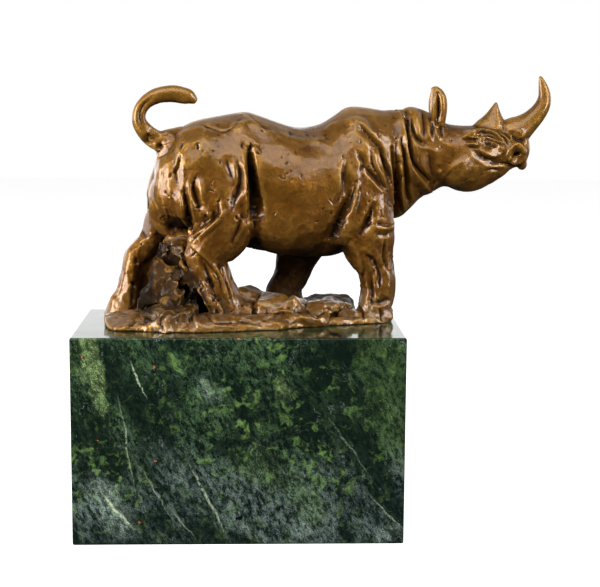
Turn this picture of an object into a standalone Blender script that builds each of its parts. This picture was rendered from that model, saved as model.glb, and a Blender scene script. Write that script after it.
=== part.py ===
"""A cast bronze rhinoceros striding over rocky ground, on a block of polished green marble.

Run it with: blender --background --python part.py
+X is the way the animal looks, +Y its left side, +Z up. The origin is the middle of the plinth's underside.
"""

import math
from collections import namedtuple

import bmesh
import bpy
import numpy as np
from mathutils import Matrix, Vector
from mathutils.bvhtree import BVHTree

# Driving sizes, in metres
PLINTH_LENGTH = 0.180
PLINTH_DEPTH = 0.100
PLINTH_HEIGHT = 0.114
PLINTH_ARRIS = 0.0009
FIGURE_LENGTH = 0.257
SEAT_GAP = 0.0003

# The figure is turned a little on its plinth, with its head away from the front, and set back of the middle
FIGURE_TURN = math.radians(10)
FIGURE_SET_BACK = 0.010

# The animal is modelled in units, of which there are 257 from its heel to the front of its horn, along its
# back. At the full size one unit is a millimetre. All its places, widths and depths below are in these units.
UNITS_LONG = 257.0
CELLS_LONG = 214
FIGURE_TRIANGLES = 9300
NEAR, FAR = -1, 1

# The neck bends to the near side between these two places, so that the head looks along the plinth again
HEAD_TURN = math.radians(-9)
NECK_BEND = (84.0, 116.0)

# The trunk from the rump to the chest: x, the back's height, the belly's height, half the width
TRUNK = [
    (-41, 103, 66, 13),
    (-34, 109.5, 60, 21),
    (-26, 113.5, 53, 25),
    (-14, 116, 46, 27),
    (2, 118.6, 42, 28),
    (10, 117, 40, 29),
    (20, 113.5, 38.5, 30.5),
    (33, 110, 36, 31),
    (45, 111.5, 35.5, 30),
    (54, 116.5, 36, 28),
    (62, 121.5, 39, 26),
    (72, 121.5, 44, 24),
    (82, 120, 52, 21),
    (90, 119, 60, 17),
]

# The neck and head along their middle: x, the top's height, the bottom's height, half the width
NECK_AND_HEAD = [
    (76, 117, 62, 16),
    (86, 120, 57.5, 17.5),
    (93, 119.8, 57.5, 17.5),
    (99, 122, 62, 17.2),
    (106, 120.5, 69, 16.4),
    (113, 117, 72.5, 15.6),
    (120, 112.6, 75.8, 15),
    (127, 111.4, 73.4, 14.6),
    (134, 111.2, 72.4, 13.6),
    (141, 111.2, 74, 12.4),
    (148, 111.5, 78, 11),
    (154, 111.5, 82, 9.8),
    (159, 109, 86, 9),
    (164, 105, 88, 7.5),
]

# Each leg from the body down to its foot: x, y, z, half its depth fore and aft, half its width
LEGS = {
    "near fore": [
        (68, -13, 86, 16, 10),
        (70, -16, 66, 15, 11),
        (70.8, -16, 52, 15.6, 11),
        (72.4, -15.5, 41, 14.8, 10),
        (76.0, -15, 31, 10.8, 8.8),
        (78, -15, 22, 10.2, 8.6),
        (77.5, -15, 14, 9.8, 8.6),
        (75, -15, 7, 9.2, 9),
        (74.5, -15, 1, 9.8, 9.6),
    ],
    "far fore": [
        (58, 13, 80, 17, 11),
        (52, 15, 62, 16, 11),
        (42, 15.5, 46, 15, 10.5),
        (36.3, 15, 34, 12.5, 9.5),
        (33, 15, 23, 10.3, 8.5),
        (28, 15, 14, 9.6, 8.5),
        (26.5, 15, 7, 10, 9.5),
        (26, 15, 2, 10.4, 10),
    ],
    "near hind": [
        (-16, -14, 88, 20, 12),
        (-12, -17, 70, 18, 13),
        (-12, -17.5, 56, 17, 12.5),
        (-18.5, -17, 45, 15, 10),
        (-21.5, -16, 37, 11.5, 8.5),
        (-16.8, -15.5, 26, 9.8, 8),
        (-11.5, -15, 14, 9.2, 8),
        (-8.6, -15, 6, 9.6, 9),
        (-8, -15, 1, 10, 9.6),
    ],
    "far hind": [
        (-24, 13, 88, 17, 12),
        (-34, 16, 70, 16.5, 12.5),
        (-40, 16.5, 56, 13, 11),
        (-50, 16.5, 43.5, 7.4, 8.5),
        (-58, 15.5, 36, 6.4, 7.4),
        (-60.3, 15, 27, 6.2, 6.8),
        (-62.5, 15, 15, 7.4, 7.6),
        (-65.2, 15, 7, 9.4, 9),
        (-66, 15, 1, 10.4, 9.6),
    ],
}

# Rounded masses of muscle and bone, each given for the near side: middle, half sizes, tilt in the side view in
# degrees
MASSES_ON_BOTH_SIDES = [
    ((-24, -12, 88), (17, 13, 22), 0),
    ((0, -13, 102), (13, 10, 12), 20),
    ((26, -11, 62), (30, 20, 24), 0),
    ((66, -12, 92), (15, 12, 25), -8),
    ((126, -7, 88), (14, 8.5, 12), 10),
    ((134, -8, 104), (8, 5, 5), 0),
    ((160, -6, 95), (6.5, 4.2, 6.5), 20),
]
MASSES_ON_ONE_SIDE = [
    ((-12, -17, 68), (16, 13, 24), -10),
    ((-29, -13, 74), (13, 13, 19), 0),
    ((72, -16, 62), (13, 10.5, 20), 4),
    ((58, -17, 58), (8, 9, 15), 16),
    ((-34.5, 13, 73), (17, 12, 24), 8),
    ((50, 16, 60), (14, 10, 20), 30),
    ((79, 0, 67), (11, 15, 16), 0),
    ((89, 0, 71), (6.5, 12, 12), 0),
    ((144.5, -8.5, 98.5), (6, 4.6, 5), 20),
    ((144.5, 8.5, 98.5), (6, 4.6, 5), 20),
    ((149, 0, 85.5), (12, 8, 6), -30),
    ((165.4, 0, 98.5), (4.4, 6.5, 9), 0),
    ((165.4, 0, 89.4), (3.0, 5.5, 4.2), 0),
    ((-38.5, 3, 70), (13.5, 15, 18), 4),
    ((-37.5, -6, 78), (12.5, 13, 20), 2),
    ((-42, 17, 26), (18, 6, 30), 0),
    ((-26, 10, 44), (12, 11, 15), 0),
    ((-25, 11, 15), (13, 6, 18), 0),
]

# The tail, horns and ears: x, y, z, and half the thickness in the side view and across
TAIL = [
    (-33, 0, 103.5, 7, 7),
    (-40, 0, 102.8, 6.2, 6),
    (-46.2, 0, 102.6, 5.4, 5),
    (-52.4, 0, 106.4, 5.0, 4.4),
    (-56.6, 0, 112.4, 4.2, 3.8),
    (-56.6, 0, 118.6, 3.8, 3.6),
    (-53.2, 0, 123.6, 3.9, 3.5),
    (-48.4, 0, 126.6, 4.3, 3.5),
    (-44, 0, 127.9, 4.5, 3.4),
    (-38, 0, 128.4, 4.8, 3.2),
    (-33, 0, 127.8, 4.5, 3.0),
    (-28.4, 0, 126.2, 3.3, 2.2),
    (-25.4, 0, 124.9, 1.6, 1.2),
]
FRONT_HORN = [
    (158.5, 0, 105.5, 10.2, 7.6),
    (162.2, 0, 108.3, 9.0, 7.0),
    (165.8, 0, 110.9, 7.3, 6.2),
    (169.8, 0, 114.2, 6.0, 5.4),
    (173.6, 0, 118.3, 5.2, 4.8),
    (176.4, 0, 122.8, 4.6, 4.3),
    (177.5, 0, 127.5, 3.9, 3.6),
    (176.9, 0, 132.2, 3.1, 2.8),
    (175.6, 0, 136.5, 2.0, 1.8),
    (174.7, 0, 139.2, 1.0, 1.0),
]
REAR_HORN = [
    (146.5, 0, 106, 13.0, 7.0),
    (147.2, 0, 110.5, 10.5, 6.4),
    (147.8, 0, 114, 7.6, 5.0),
    (148.3, 0, 117.5, 4.7, 3.6),
    (148.8, 0, 121, 2.6, 2.2),
    (149.3, 0, 124, 1.0, 1.0),
]
EAR = [
    (114.2, -7, 108, 5.0, 4.0),
    (114.4, -9, 114, 4.4, 3.4),
    (114.6, -10.4, 120, 4.8, 3.0),
    (114.4, -11, 126, 4.6, 2.8),
    (113.4, -10.8, 130, 3.4, 2.2),
    (112.2, -10.4, 132.6, 1.6, 1.2),
]
FAR_EAR_STEP = 2.0

# The toes: x, y, z, half sizes; the ground is a little higher under some feet and covers one foot's toes
TOES = [
    ((82.5, -20, 3.4), (3.2, 3.4, 4.0)),
    ((84, -14, 3.6), (3.2, 3.6, 4.2)),
    ((81, -8, 3.4), (3.2, 3.4, 4.0)),
    ((0.2, -20.5, 6.6), (3.4, 3.4, 4.2)),
    ((2.2, -14.5, 6.8), (3.4, 3.6, 4.4)),
    ((-0.2, -8.5, 6.6), (3.4, 3.4, 4.2)),
    ((35, 9.5, 9), (3.4, 3.4, 4.4)),
    ((36.5, 15, 9.2), (3.4, 3.6, 4.6)),
    ((34.5, 20.5, 9), (3.4, 3.4, 4.4)),
]

# The ground's outline seen from above, and its height
GROUND_OUTLINE = [
    (-76, -6), (-73, -19), (-63, -29), (-45, -37), (-22, -41.5), (4, -39), (28, -34), (50, -30), (68, -27.5),
    (80, -25.5), (85.5, -17), (83.5, -3), (74, 8), (56, 20), (34, 30), (8, 34), (-22, 33), (-50, 33),
    (-70, 29), (-77, 12),
]
GROUND_HEIGHT = 3.2

# Clods and rocks standing on the ground: middle, half sizes, turn seen from above in degrees, seed
ROCKS = [
    ((-62, -12, 1), (17, 17, 8), 12, 1),
    ((-60, 14, 1), (17, 17, 8), 0, 11),
    ((-41, -23, 2), (19, 15, 11), 20, 2),
    ((-20, -29, 1), (19, 12, 7), -8, 3),
    ((4, -28, 1), (20, 13, 6.5), 0, 13),
    ((30, -24, 1), (20, 12, 6), 4, 14),
    ((54, -19, 1), (19, 11, 6), 6, 16),
    ((-8, -14, 1), (15, 13, 6), 0, 17),
    ((4, -2, 6), (13, 14, 14), 15, 4),
    ((16, -12, 5), (15, 13, 12.5), -15, 18),
    ((33, -15, 5), (15, 13, 12), -8, 5),
    ((47, -12, 4), (16, 13, 9), 20, 6),
    ((52, 4, 4), (17, 13, 9), -15, 15),
    ((67, -3, 3), (12, 13, 9.5), 0, 7),
    ((24, 16, 2), (19, 14, 8), 0, 8),
    ((-8, 15, 4), (18, 14, 15), 25, 9),
    ((-36, 20, 2), (20, 13, 9), 5, 10),
    ((76, 0, 0), (10, 10, 5), 0, 12),
]

# The mound of clay that holds up the body between the hind legs: leaves that lean on each other, each given by
# its four corners, how far its middle bulges towards the near side, and the seed of its crumples
SHEETS = [
    ([(-49, -8, 37), (-38, -13, 32), (-38, -18, 20), (-60, -7, 6)], 4.0, 1),
    ([(-46, -15, 20), (-36, -18, 22), (-35, -22, 6), (-52, -20, 5)], 2.5, 2),
    ([(-40, -8, 39), (-29, -12, 37), (-27, -17, 24), (-37, -13, 21)], 3.0, 3),
    ([(-32, -15, 25), (-28, -18, 24), (-26, -21, 6), (-33, -21, 6)], 1.0, 4),
    ([(-29, -17, 33), (-24, -19, 31), (-13, -24, 6), (-20, -23, 5)], 2.5, 5),
    ([(-46, -3, 46), (-28, -5, 48), (-24, -4, 4), (-56, -2, 4)], 0.0, 6),
    ([(-41, -5, 47), (-34, -10, 44), (-32, -10, 37), (-42, -6, 38)], 1.5, 7),
]
SHEET_THICKNESS = 3.6
SHEET_WAVE = 0.8
MOUND = [
    ((-36, 2, 18), (17, 10, 24), 0),
    ((-31, 1, 42), (12, 11, 12), -20),
]

# Pats of the modelling tool, which leave the clay in flat facets: the part of the side view that each row
# covers (x from, to, z from, to), how far apart they are, and how large
PATS = [
    (-46, 90, 40, 112, 11, 8.0),
    (-64, 90, 10, 46, 9, 6.0),
    (96, 160, 78, 108, 10, 5.5),
]
PAT_STRENGTH = 0.85

# A stroke of the modelling tool over one side of the animal: its path as (x, z) in the side view, how wide it
# is at its start and its end, how deep it goes (above zero it raises a ridge), whether the far side has it as
# well, and which of its sides is the steep one (above zero the right of the path as it runs, below zero the
# left)
Stroke = namedtuple("Stroke", "path widths depth mirrored lean", defaults=(0.0,))
STROKES = [
    # flank, thigh and buttock
    Stroke([(0.7, 99), (0.4, 92), (0.9, 82), (1.8, 73.5), (2.6, 66), (3.5, 57)], (1.5, 3.2), -9.5, True, 0.9),
    Stroke([(-4.9, 89.5), (-3.9, 84), (-4.6, 77.4), (-7, 72), (-8.6, 67)], (1.5, 1.9), -2.6, True, -0.8),
    Stroke([(-12, 93.5), (-10.6, 88), (-8.8, 82.5)], (1.8, 1.4), -1.3, False, -0.4),
    Stroke([(-8.5, 92), (-7.2, 86), (-6.4, 80)], (1.2, 1.2), 0.7, False),
    Stroke([(-29.4, 82.5), (-30.6, 77.8), (-29.2, 71.5), (-26.8, 65)], (1.4, 1.6), -3.0, True, 0.8),
    Stroke([(-27, 83), (-25.6, 76.5), (-26, 70)], (1.9, 1.9), 1.5, False),
    Stroke([(-35.3, 75.5), (-34.6, 67.4), (-33.4, 61), (-30.4, 53)], (1.5, 2.0), -4.0, True, 0.8),
    Stroke([(-32, 72), (-31, 65), (-28.6, 58)], (1.3, 1.3), 0.9, False),
    Stroke([(-42.3, 93), (-42.6, 80), (-41.5, 68)], (1.6, 1.6), 0.7, False),
    Stroke([(-19, 66), (-21, 61.5), (-25.5, 58)], (3.2, 2.6), -3.2, False, 0.3),
    Stroke([(-22.6, 65), (-21.8, 60.5), (-23.8, 57.4)], (1.3, 1.5), 2.2, False),
    Stroke([(-15.6, 69.5), (-15.4, 63.6), (-19.9, 58.4), (-26.8, 53), (-31, 50)], (1.2, 1.6), 1.8, True, 0.6),
    Stroke([(-45.6, 101), (-46.8, 98)], (1.3, 1.0), -2.4, True),
    Stroke([(-41, 103), (-35, 106.6), (-26.7, 109.4), (-20, 112)], (1.8, 1.8), 0.7, True),
    Stroke([(0.5, 117), (4.5, 112.7), (9.4, 108.6), (15, 107)], (2.2, 2.2), 1.4, True, -0.4),
    Stroke([(12, 107.5), (19.4, 106.8), (29, 103.3), (39, 102.8), (50, 98)], (2.6, 2.6), 0.7, True),
    # shoulder and foreleg
    Stroke([(64, 112.5), (69, 107), (74, 101.5), (78, 97)], (1.9, 2.2), -1.8, True, -0.5),
    Stroke([(71.4, 97), (73, 89), (76.6, 83), (80, 76)], (1.3, 1.2), 1.6, True, 0.5),
    Stroke([(66.5, 88.5), (71.5, 84), (77, 77.5)], (1.3, 1.3), -1.9, True, -0.4),
    Stroke([(69.5, 82), (74, 77), (77.5, 74)], (1.8, 1.8), 1.0, False),
    Stroke([(62.4, 96), (65.6, 91), (64, 85.4)], (1.5, 1.5), -1.2, False, 0.3),
    Stroke([(52, 86), (55, 80), (53.5, 72)], (2.4, 2.2), -1.4, False, 0.6),
    Stroke([(61.5, 79), (60.6, 71.6), (58.6, 64), (56, 61)], (1.3, 1.2), 1.2, True, 0.7),
    Stroke([(57.5, 72), (54, 61.5), (50.5, 52), (47, 44)], (1.8, 4.4), -5.4, True, -0.4),
    Stroke([(71, 67), (69, 61), (66.4, 55), (63, 49)], (1.7, 2.6), -3.4, True, 0.2),
    Stroke([(54, 45.5), (59, 42.2), (64, 41.2), (68, 43)], (1.8, 1.8), -1.8, False),
    Stroke([(86, 57.5), (82, 54.5), (75, 54)], (1.3, 1.3), 1.3, False),
    Stroke([(84, 52), (79, 50.4), (74, 50.8)], (1.2, 1.2), -1.2, False),
    # neck
    Stroke([(84, 99), (85.2, 88), (86.6, 79), (87.4, 70), (88.5, 60)], (1.2, 1.9), -5.0, True, 0.3),
    Stroke([(87.2, 103), (88.6, 91.5), (89.4, 81), (90.8, 71.5), (94, 63.5)], (1.3, 1.7), 2.6, True, 0.5),
    Stroke([(89.8, 103), (91.6, 92), (93.6, 82), (95, 73), (98, 67)], (1.0, 1.4), -3.0, True),
    Stroke([(92, 121.5), (91.9, 112.8), (93, 100), (94.3, 91.5), (98.2, 85.5), (105.5, 78.6), (114, 72)],
           (1.9, 2.4), 3.2, True, -0.55),
    Stroke([(95.4, 119), (94.6, 109), (95, 100), (97.4, 92), (102, 86.6), (109, 80)],
           (1.0, 1.2), -3.0, True, 0.3),
    Stroke([(97.4, 117.5), (97.4, 110), (100.4, 104.4), (105, 101.4)], (1.3, 1.3), -2.2, True, -0.4),
    Stroke([(100.6, 121), (101.4, 113), (101.6, 107)], (1.6, 1.4), 1.4, True),
    Stroke([(105.4, 119), (105.6, 112), (105, 106)], (1.2, 1.2), -1.6, True),
    Stroke([(100, 99), (107, 98.5), (114, 96.5)], (1.3, 1.3), 0.8, True),
    # head
    Stroke([(108, 96), (109.6, 88), (112, 80)], (2.4, 2.4), -1.4, True),
    Stroke([(113.4, 84), (116, 86.6)], (2.2, 2.2), 1.3, True),
    Stroke([(116, 81.5), (121, 86.7), (126.7, 90.3), (133, 94)], (1.8, 1.8), 1.0, True),
    Stroke([(129.6, 104.6), (133, 107), (139, 108.4), (146, 107.4), (151.5, 104.2)],
           (1.1, 1.2), 1.7, True, 0.5),
    Stroke([(141, 101.6), (145, 101.4), (149, 99)], (2.6, 2.2), -2.0, True, -0.4),
    Stroke([(138.8, 98.4), (141.4, 95.6), (146, 94), (150, 95)], (1.5, 1.5), 1.5, True, 0.5),
    Stroke([(134.5, 97), (139, 93.6), (146, 91.2), (152, 91.4)], (1.4, 1.4), -1.3, True),
    Stroke([(153.4, 91.8), (156, 97.4), (160, 100.6), (164, 98), (165.6, 91.4)], (1.3, 1.3), 1.7, True),
    Stroke([(160, 95.6), (161, 93.4)], (1.9, 1.9), -7.0, True),
    Stroke([(160, 109), (163.5, 107)], (1.6, 1.6), 1.2, True),
    Stroke([(113.9, 113), (113.8, 118), (113.5, 125), (113, 129.5)], (1.3, 1.1), -3.0, True),
    # legs
    Stroke([(-33, 47), (-35, 43), (-32, 38)], (2.2, 2.2), 1.3, False),
    Stroke([(-18.5, 34), (-14.5, 26), (-11, 17)], (1.6, 1.6), 1.0, False, -0.4),
    Stroke([(-24, 34), (-21, 25), (-17, 15)], (1.2, 1.4), -1.2, False),
    Stroke([(67, 39.5), (73, 35), (76.4, 27), (76.4, 19)], (1.6, 1.6), -2.0, False, -0.4),
    Stroke([(80, 44), (81.5, 34), (82, 24), (80.6, 12)], (1.8, 1.8), 0.9, False),
    Stroke([(71, 27), (72.5, 18), (71.5, 8)], (1.2, 1.2), -1.3, False),
    Stroke([(70, 13), (75, 11.4), (82, 13)], (1.2, 1.2), -1.2, True),
    Stroke([(-61, 38), (-60.4, 27), (-62.6, 17.7), (-63.4, 9)], (1.2, 1.2), 1.2, False, -0.6),
    # ground
    Stroke([(-66, 2.4), (-62, 4.4), (-56, 5), (-50.8, 8.4)], (1.0, 1.3), -2.4, False, 0.3),
    Stroke([(-31.5, 11), (-31, 6), (-29, 2)], (1.0, 1.2), 1.4, False, 0.4),
    Stroke([(2, 4), (12, 6.4), (20, 8), (27, 6.6), (34, 3)], (1.2, 1.2), 1.3, False, 0.3),
    Stroke([(33, 9), (38, 5.6), (46, 8)], (1.2, 1.2), -1.4, False),
]


def smooth_stations(stations, steps):
    """Rows of numbers read off a smooth curve (Catmull-Rom) through the given rows."""
    rows = np.array(stations, float)
    ends = np.vstack([2 * rows[0] - rows[1], rows, 2 * rows[-1] - rows[-2]])
    made = []
    for before, start, end, after in zip(ends, ends[1:], ends[2:], ends[3:]):
        for t in np.arange(steps) / steps:
            made.append(
                0.5 * (
                    2 * start
                    + (end - before) * t
                    + (2 * before - 5 * start + 4 * end - after) * t ** 2
                    + (3 * start - before - 3 * end + after) * t ** 3
                )
            )
    made.append(rows[-1])
    return np.array(made)


def mesh_object(name, verts, faces):
    """A new object in the scene from points and faces."""
    mesh = bpy.data.meshes.new(name)
    mesh.from_pydata([tuple(v) for v in verts], [], faces)
    mesh.update()
    made = bpy.data.objects.new(name, mesh)
    bpy.context.scene.collection.objects.link(made)
    return made


def loft(name, stations, corners=20, steps=4, upright=False, cap=0.6):
    """A closed skin round a line of oval sections: each is x, y, z, half its depth and half its width.

    The width always runs along Y, and the depth square to both Y and the line, or straight up where the
    sections are upright. Both ends are rounded off, by cap times the smaller half size.
    """
    rows = smooth_stations(stations, steps)
    middles, depths, widths = rows[:, :3], np.maximum(rows[:, 3], 0.3), np.maximum(rows[:, 4], 0.3)
    side = np.array((0.0, 1.0, 0.0))
    along = np.gradient(middles, axis=0)
    along /= np.linalg.norm(along, axis=1)[:, None]
    across = np.tile((0.0, 0.0, 1.0), (len(rows), 1)) if upright else np.cross(along, side)
    across /= np.linalg.norm(across, axis=1)[:, None]
    sections = []
    cap_steps = 4
    for k in range(cap_steps, 0, -1):
        turn = k / (cap_steps + 0.5) * math.pi / 2
        reach = cap * min(depths[0], widths[0]) * math.sin(turn)
        shrink = math.cos(turn)
        sections.append((middles[0] - along[0] * reach, across[0], depths[0] * shrink, widths[0] * shrink))
    sections += list(zip(middles, across, depths, widths))
    for k in range(1, cap_steps + 1):
        turn = k / (cap_steps + 0.5) * math.pi / 2
        reach = cap * min(depths[-1], widths[-1]) * math.sin(turn)
        shrink = math.cos(turn)
        sections.append((middles[-1] + along[-1] * reach, across[-1], depths[-1] * shrink, widths[-1] * shrink))
    angles = np.arange(corners) / corners * 2 * math.pi
    verts = [
        middle + out * depth * math.cos(a) + side * width * math.sin(a)
        for middle, out, depth, width in sections
        for a in angles
    ]
    faces = []
    for r in range(len(sections) - 1):
        row, beyond = r * corners, (r + 1) * corners
        for i in range(corners):
            beside = (i + 1) % corners
            faces.append((row + i, row + beside, beyond + beside, beyond + i))
    faces.append(tuple(reversed(range(corners))))
    faces.append(tuple((len(sections) - 1) * corners + i for i in range(corners)))
    made = mesh_object(name, verts, faces)
    bm = bmesh.new()
    bm.from_mesh(made.data)
    bmesh.ops.recalc_face_normals(bm, faces=bm.faces)
    bm.to_mesh(made.data)
    bm.free()
    return made


def body_loft(name, stations, steps=4):
    """A loft along X whose stations give the top's height, the bottom's height and half the width."""
    rows = [(x, 0, (top + low) / 2, (top - low) / 2, half) for x, top, low, half in stations]
    return loft(name, rows, 28, steps, upright=True)


def mass(name, middle, half_sizes, tilt=0.0):
    """A rounded lump: a ball stretched to its half sizes and tilted in the side view."""
    bm = bmesh.new()
    place = (
        Matrix.Translation(middle)
        @ Matrix.Rotation(math.radians(tilt), 4, "Y")
        @ Matrix.Diagonal((*half_sizes, 1.0))
    )
    bmesh.ops.create_uvsphere(bm, u_segments=24, v_segments=14, radius=1.0, matrix=place)
    mesh = bpy.data.meshes.new(name)
    bm.to_mesh(mesh)
    bm.free()
    made = bpy.data.objects.new(name, mesh)
    bpy.context.scene.collection.objects.link(made)
    return made


def rock(name, middle, half_sizes, turn, seed):
    """An angular clod: the hull of a few points scattered over a ball, stretched and turned."""
    scatter = np.random.default_rng(seed)
    spots = scatter.normal(size=(20, 3))
    spots /= np.linalg.norm(spots, axis=1)[:, None]
    spots = np.sign(spots) * abs(spots) ** 0.7
    place = (
        Matrix.Translation(middle)
        @ Matrix.Rotation(math.radians(turn), 4, "Z")
        @ Matrix.Diagonal((*half_sizes, 1.0))
    )
    bm = bmesh.new()
    for spot in spots:
        bm.verts.new(place @ Vector(spot))
    hull = bmesh.ops.convex_hull(bm, input=bm.verts)
    left = set(hull["geom_interior"] + hull["geom_unused"])
    loose = [item for item in left if isinstance(item, bmesh.types.BMVert)]
    bmesh.ops.delete(bm, geom=loose, context="VERTS")
    bmesh.ops.recalc_face_normals(bm, faces=bm.faces)
    mesh = bpy.data.meshes.new(name)
    bm.to_mesh(mesh)
    bm.free()
    made = bpy.data.objects.new(name, mesh)
    bpy.context.scene.collection.objects.link(made)
    return made


def sheet(name, corners, bulge, seed):
    """A thick, crumpled leaf of clay between four corners, its middle pushed out by the bulge."""
    count = 9
    share = np.linspace(0, 1, count)
    top_left, top_right, low_right, low_left = (np.array(corner, float) for corner in corners)
    out = np.cross(top_right - top_left, low_left - top_left)
    out *= -np.sign(out[1]) / np.linalg.norm(out)
    turns = np.random.default_rng(seed).uniform(0, 2 * math.pi, (4, 3))
    verts = []
    for face in (1, -1):
        for v in share:
            for u in share:
                high = top_left * (1 - u) + top_right * u
                low = low_left * (1 - u) + low_right * u
                spot = high * (1 - v) + low * v
                dome = 16 * u * (1 - u) * v * (1 - v)
                wave = np.sin(turns[0] + 5.5 * u) + np.sin(turns[1] + 6.5 * v)
                wave = wave + 0.6 * np.sin(turns[2] + 11 * (u - v))
                crumple = math.sin(turns[3][0] + 7 * u) * math.sin(turns[3][1] + 6 * v)
                push = face * SHEET_THICKNESS / 2 + bulge * dome + 2.2 * SHEET_WAVE * crumple
                verts.append(spot + wave * SHEET_WAVE + out * push)
    layer = count * count
    faces = []
    for r in range(count - 1):
        for c in range(count - 1):
            quad = (r * count + c, r * count + c + 1, (r + 1) * count + c + 1, (r + 1) * count + c)
            faces += [quad, tuple(layer + i for i in reversed(quad))]
    rim = list(range(count)) + [r * count + count - 1 for r in range(1, count)]
    rim += [layer - 1 - c for c in range(1, count)] + [r * count for r in range(count - 2, 0, -1)]
    faces += [(a, layer + a, layer + b, b) for a, b in zip(rim, rim[1:] + rim[:1])]
    made = mesh_object(name, verts, faces)
    bm = bmesh.new()
    bm.from_mesh(made.data)
    bmesh.ops.recalc_face_normals(bm, faces=bm.faces)
    bm.to_mesh(made.data)
    bm.free()
    return made


def ground_slab(name):
    """The thin ground under the feet: a smooth closed outline with a flat top, which reaches below zero."""
    ring = smooth_stations(GROUND_OUTLINE + GROUND_OUTLINE[:1], 3)[:-1]
    count = len(ring)
    low, high = -4.0, GROUND_HEIGHT
    verts = [(x, y, low) for x, y in ring] + [(x * 0.985, y * 0.96, high) for x, y in ring]
    faces = [(i, (i + 1) % count, count + (i + 1) % count, count + i) for i in range(count)]
    faces += [tuple(reversed(range(count))), tuple(range(count, 2 * count))]
    return mesh_object(name, verts, faces)


def evaluated_copy(thing, name):
    """The object's mesh as its modifiers leave it, in a new object; the old one is removed."""
    graph = bpy.context.evaluated_depsgraph_get()
    mesh = bpy.data.meshes.new_from_object(thing.evaluated_get(graph))
    mesh.transform(thing.matrix_world)
    made = bpy.data.objects.new(name, mesh)
    bpy.context.scene.collection.objects.link(made)
    old = thing.data
    bpy.data.objects.remove(thing)
    bpy.data.meshes.remove(old)
    return made


def joined(name, things):
    """One object that holds the skins of all the given ones, still overlapping."""
    bm = bmesh.new()
    for thing in things:
        bm.from_mesh(thing.data)
        old = thing.data
        bpy.data.objects.remove(thing)
        bpy.data.meshes.remove(old)
    mesh = bpy.data.meshes.new(name)
    bm.to_mesh(mesh)
    bm.free()
    made = bpy.data.objects.new(name, mesh)
    bpy.context.scene.collection.objects.link(made)
    return made


def fused(name, things, voxel, relax):
    """The given closed skins run together into one, as clay is, and softened where they meet."""
    whole = joined(name, things)
    remesh = whole.modifiers.new("run together", "REMESH")
    remesh.mode = "VOXEL"
    remesh.voxel_size = voxel
    soften = whole.modifiers.new("soften", "SMOOTH")
    soften.factor = 0.5
    soften.iterations = relax
    return evaluated_copy(whole, name)


def keep_largest(thing):
    """Removes every loose scrap of skin but the largest, such as a sealed hollow inside."""
    bm = bmesh.new()
    bm.from_mesh(thing.data)
    waiting = set(bm.verts)
    islands = []
    while waiting:
        island, edge = set(), [waiting.pop()]
        while edge:
            vert = edge.pop()
            island.add(vert)
            for link in vert.link_edges:
                other = link.other_vert(vert)
                if other in waiting:
                    waiting.discard(other)
                    edge.append(other)
        islands.append(island)
    largest = max(islands, key=len)
    bmesh.ops.delete(bm, geom=[v for v in bm.verts if v not in largest], context="VERTS")
    bm.to_mesh(thing.data)
    bm.free()


def points_of(mesh):
    """The mesh's points as rows of numbers."""
    points = np.empty(len(mesh.vertices) * 3, np.float32)
    mesh.vertices.foreach_get("co", points)
    return points.reshape(-1, 3).astype(float)


def normals_of(mesh):
    """The outward direction at each of the mesh's points."""
    normals = np.empty(len(mesh.vertices) * 3, np.float32)
    mesh.vertex_normals.foreach_get("vector", normals)
    return normals.reshape(-1, 3).astype(float)


def set_points(mesh, points):
    """Moves the mesh's points to the given rows."""
    mesh.vertices.foreach_set("co", points.astype(np.float32).ravel())
    mesh.update()


def laid_on_skin(tree, path, side):
    """The path of a stroke, given in the side view, laid on the skin of that side."""
    spots = []
    for x, z in smooth_stations(path, 3):
        spot = tree.ray_cast(Vector((x, side * 150.0, z)), Vector((0, -side, 0)))[0]
        if spot is None:
            spot = tree.find_nearest(Vector((x, side * 12.0, z)))[0]
        spots.append(spot)
    return np.array(spots)


def gap_to_path(points, path):
    """Each point's distance to the path, how far along the path its nearest place is, from 0 to 1, and whether
    it lies to the left of the path in the side view."""
    lengths = np.linalg.norm(np.diff(path, axis=0), axis=1)
    starts = np.concatenate([[0.0], np.cumsum(lengths)])
    gap = np.full(len(points), np.inf)
    along = np.zeros(len(points))
    to_left = np.zeros(len(points), bool)
    for a, b, start, length in zip(path, path[1:], starts, lengths):
        t = np.clip((points - a) @ (b - a) / max(length ** 2, 1e-9), 0, 1)
        offset = points - a - t[:, None] * (b - a)
        found = np.linalg.norm(offset, axis=1)
        closer = found < gap
        gap = np.where(closer, found, gap)
        along = np.where(closer, (start + t * length) / starts[-1], along)
        to_left = np.where(closer, offset[:, 2] * (b - a)[0] > offset[:, 0] * (b - a)[2], to_left)
    return gap, along, to_left


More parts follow.
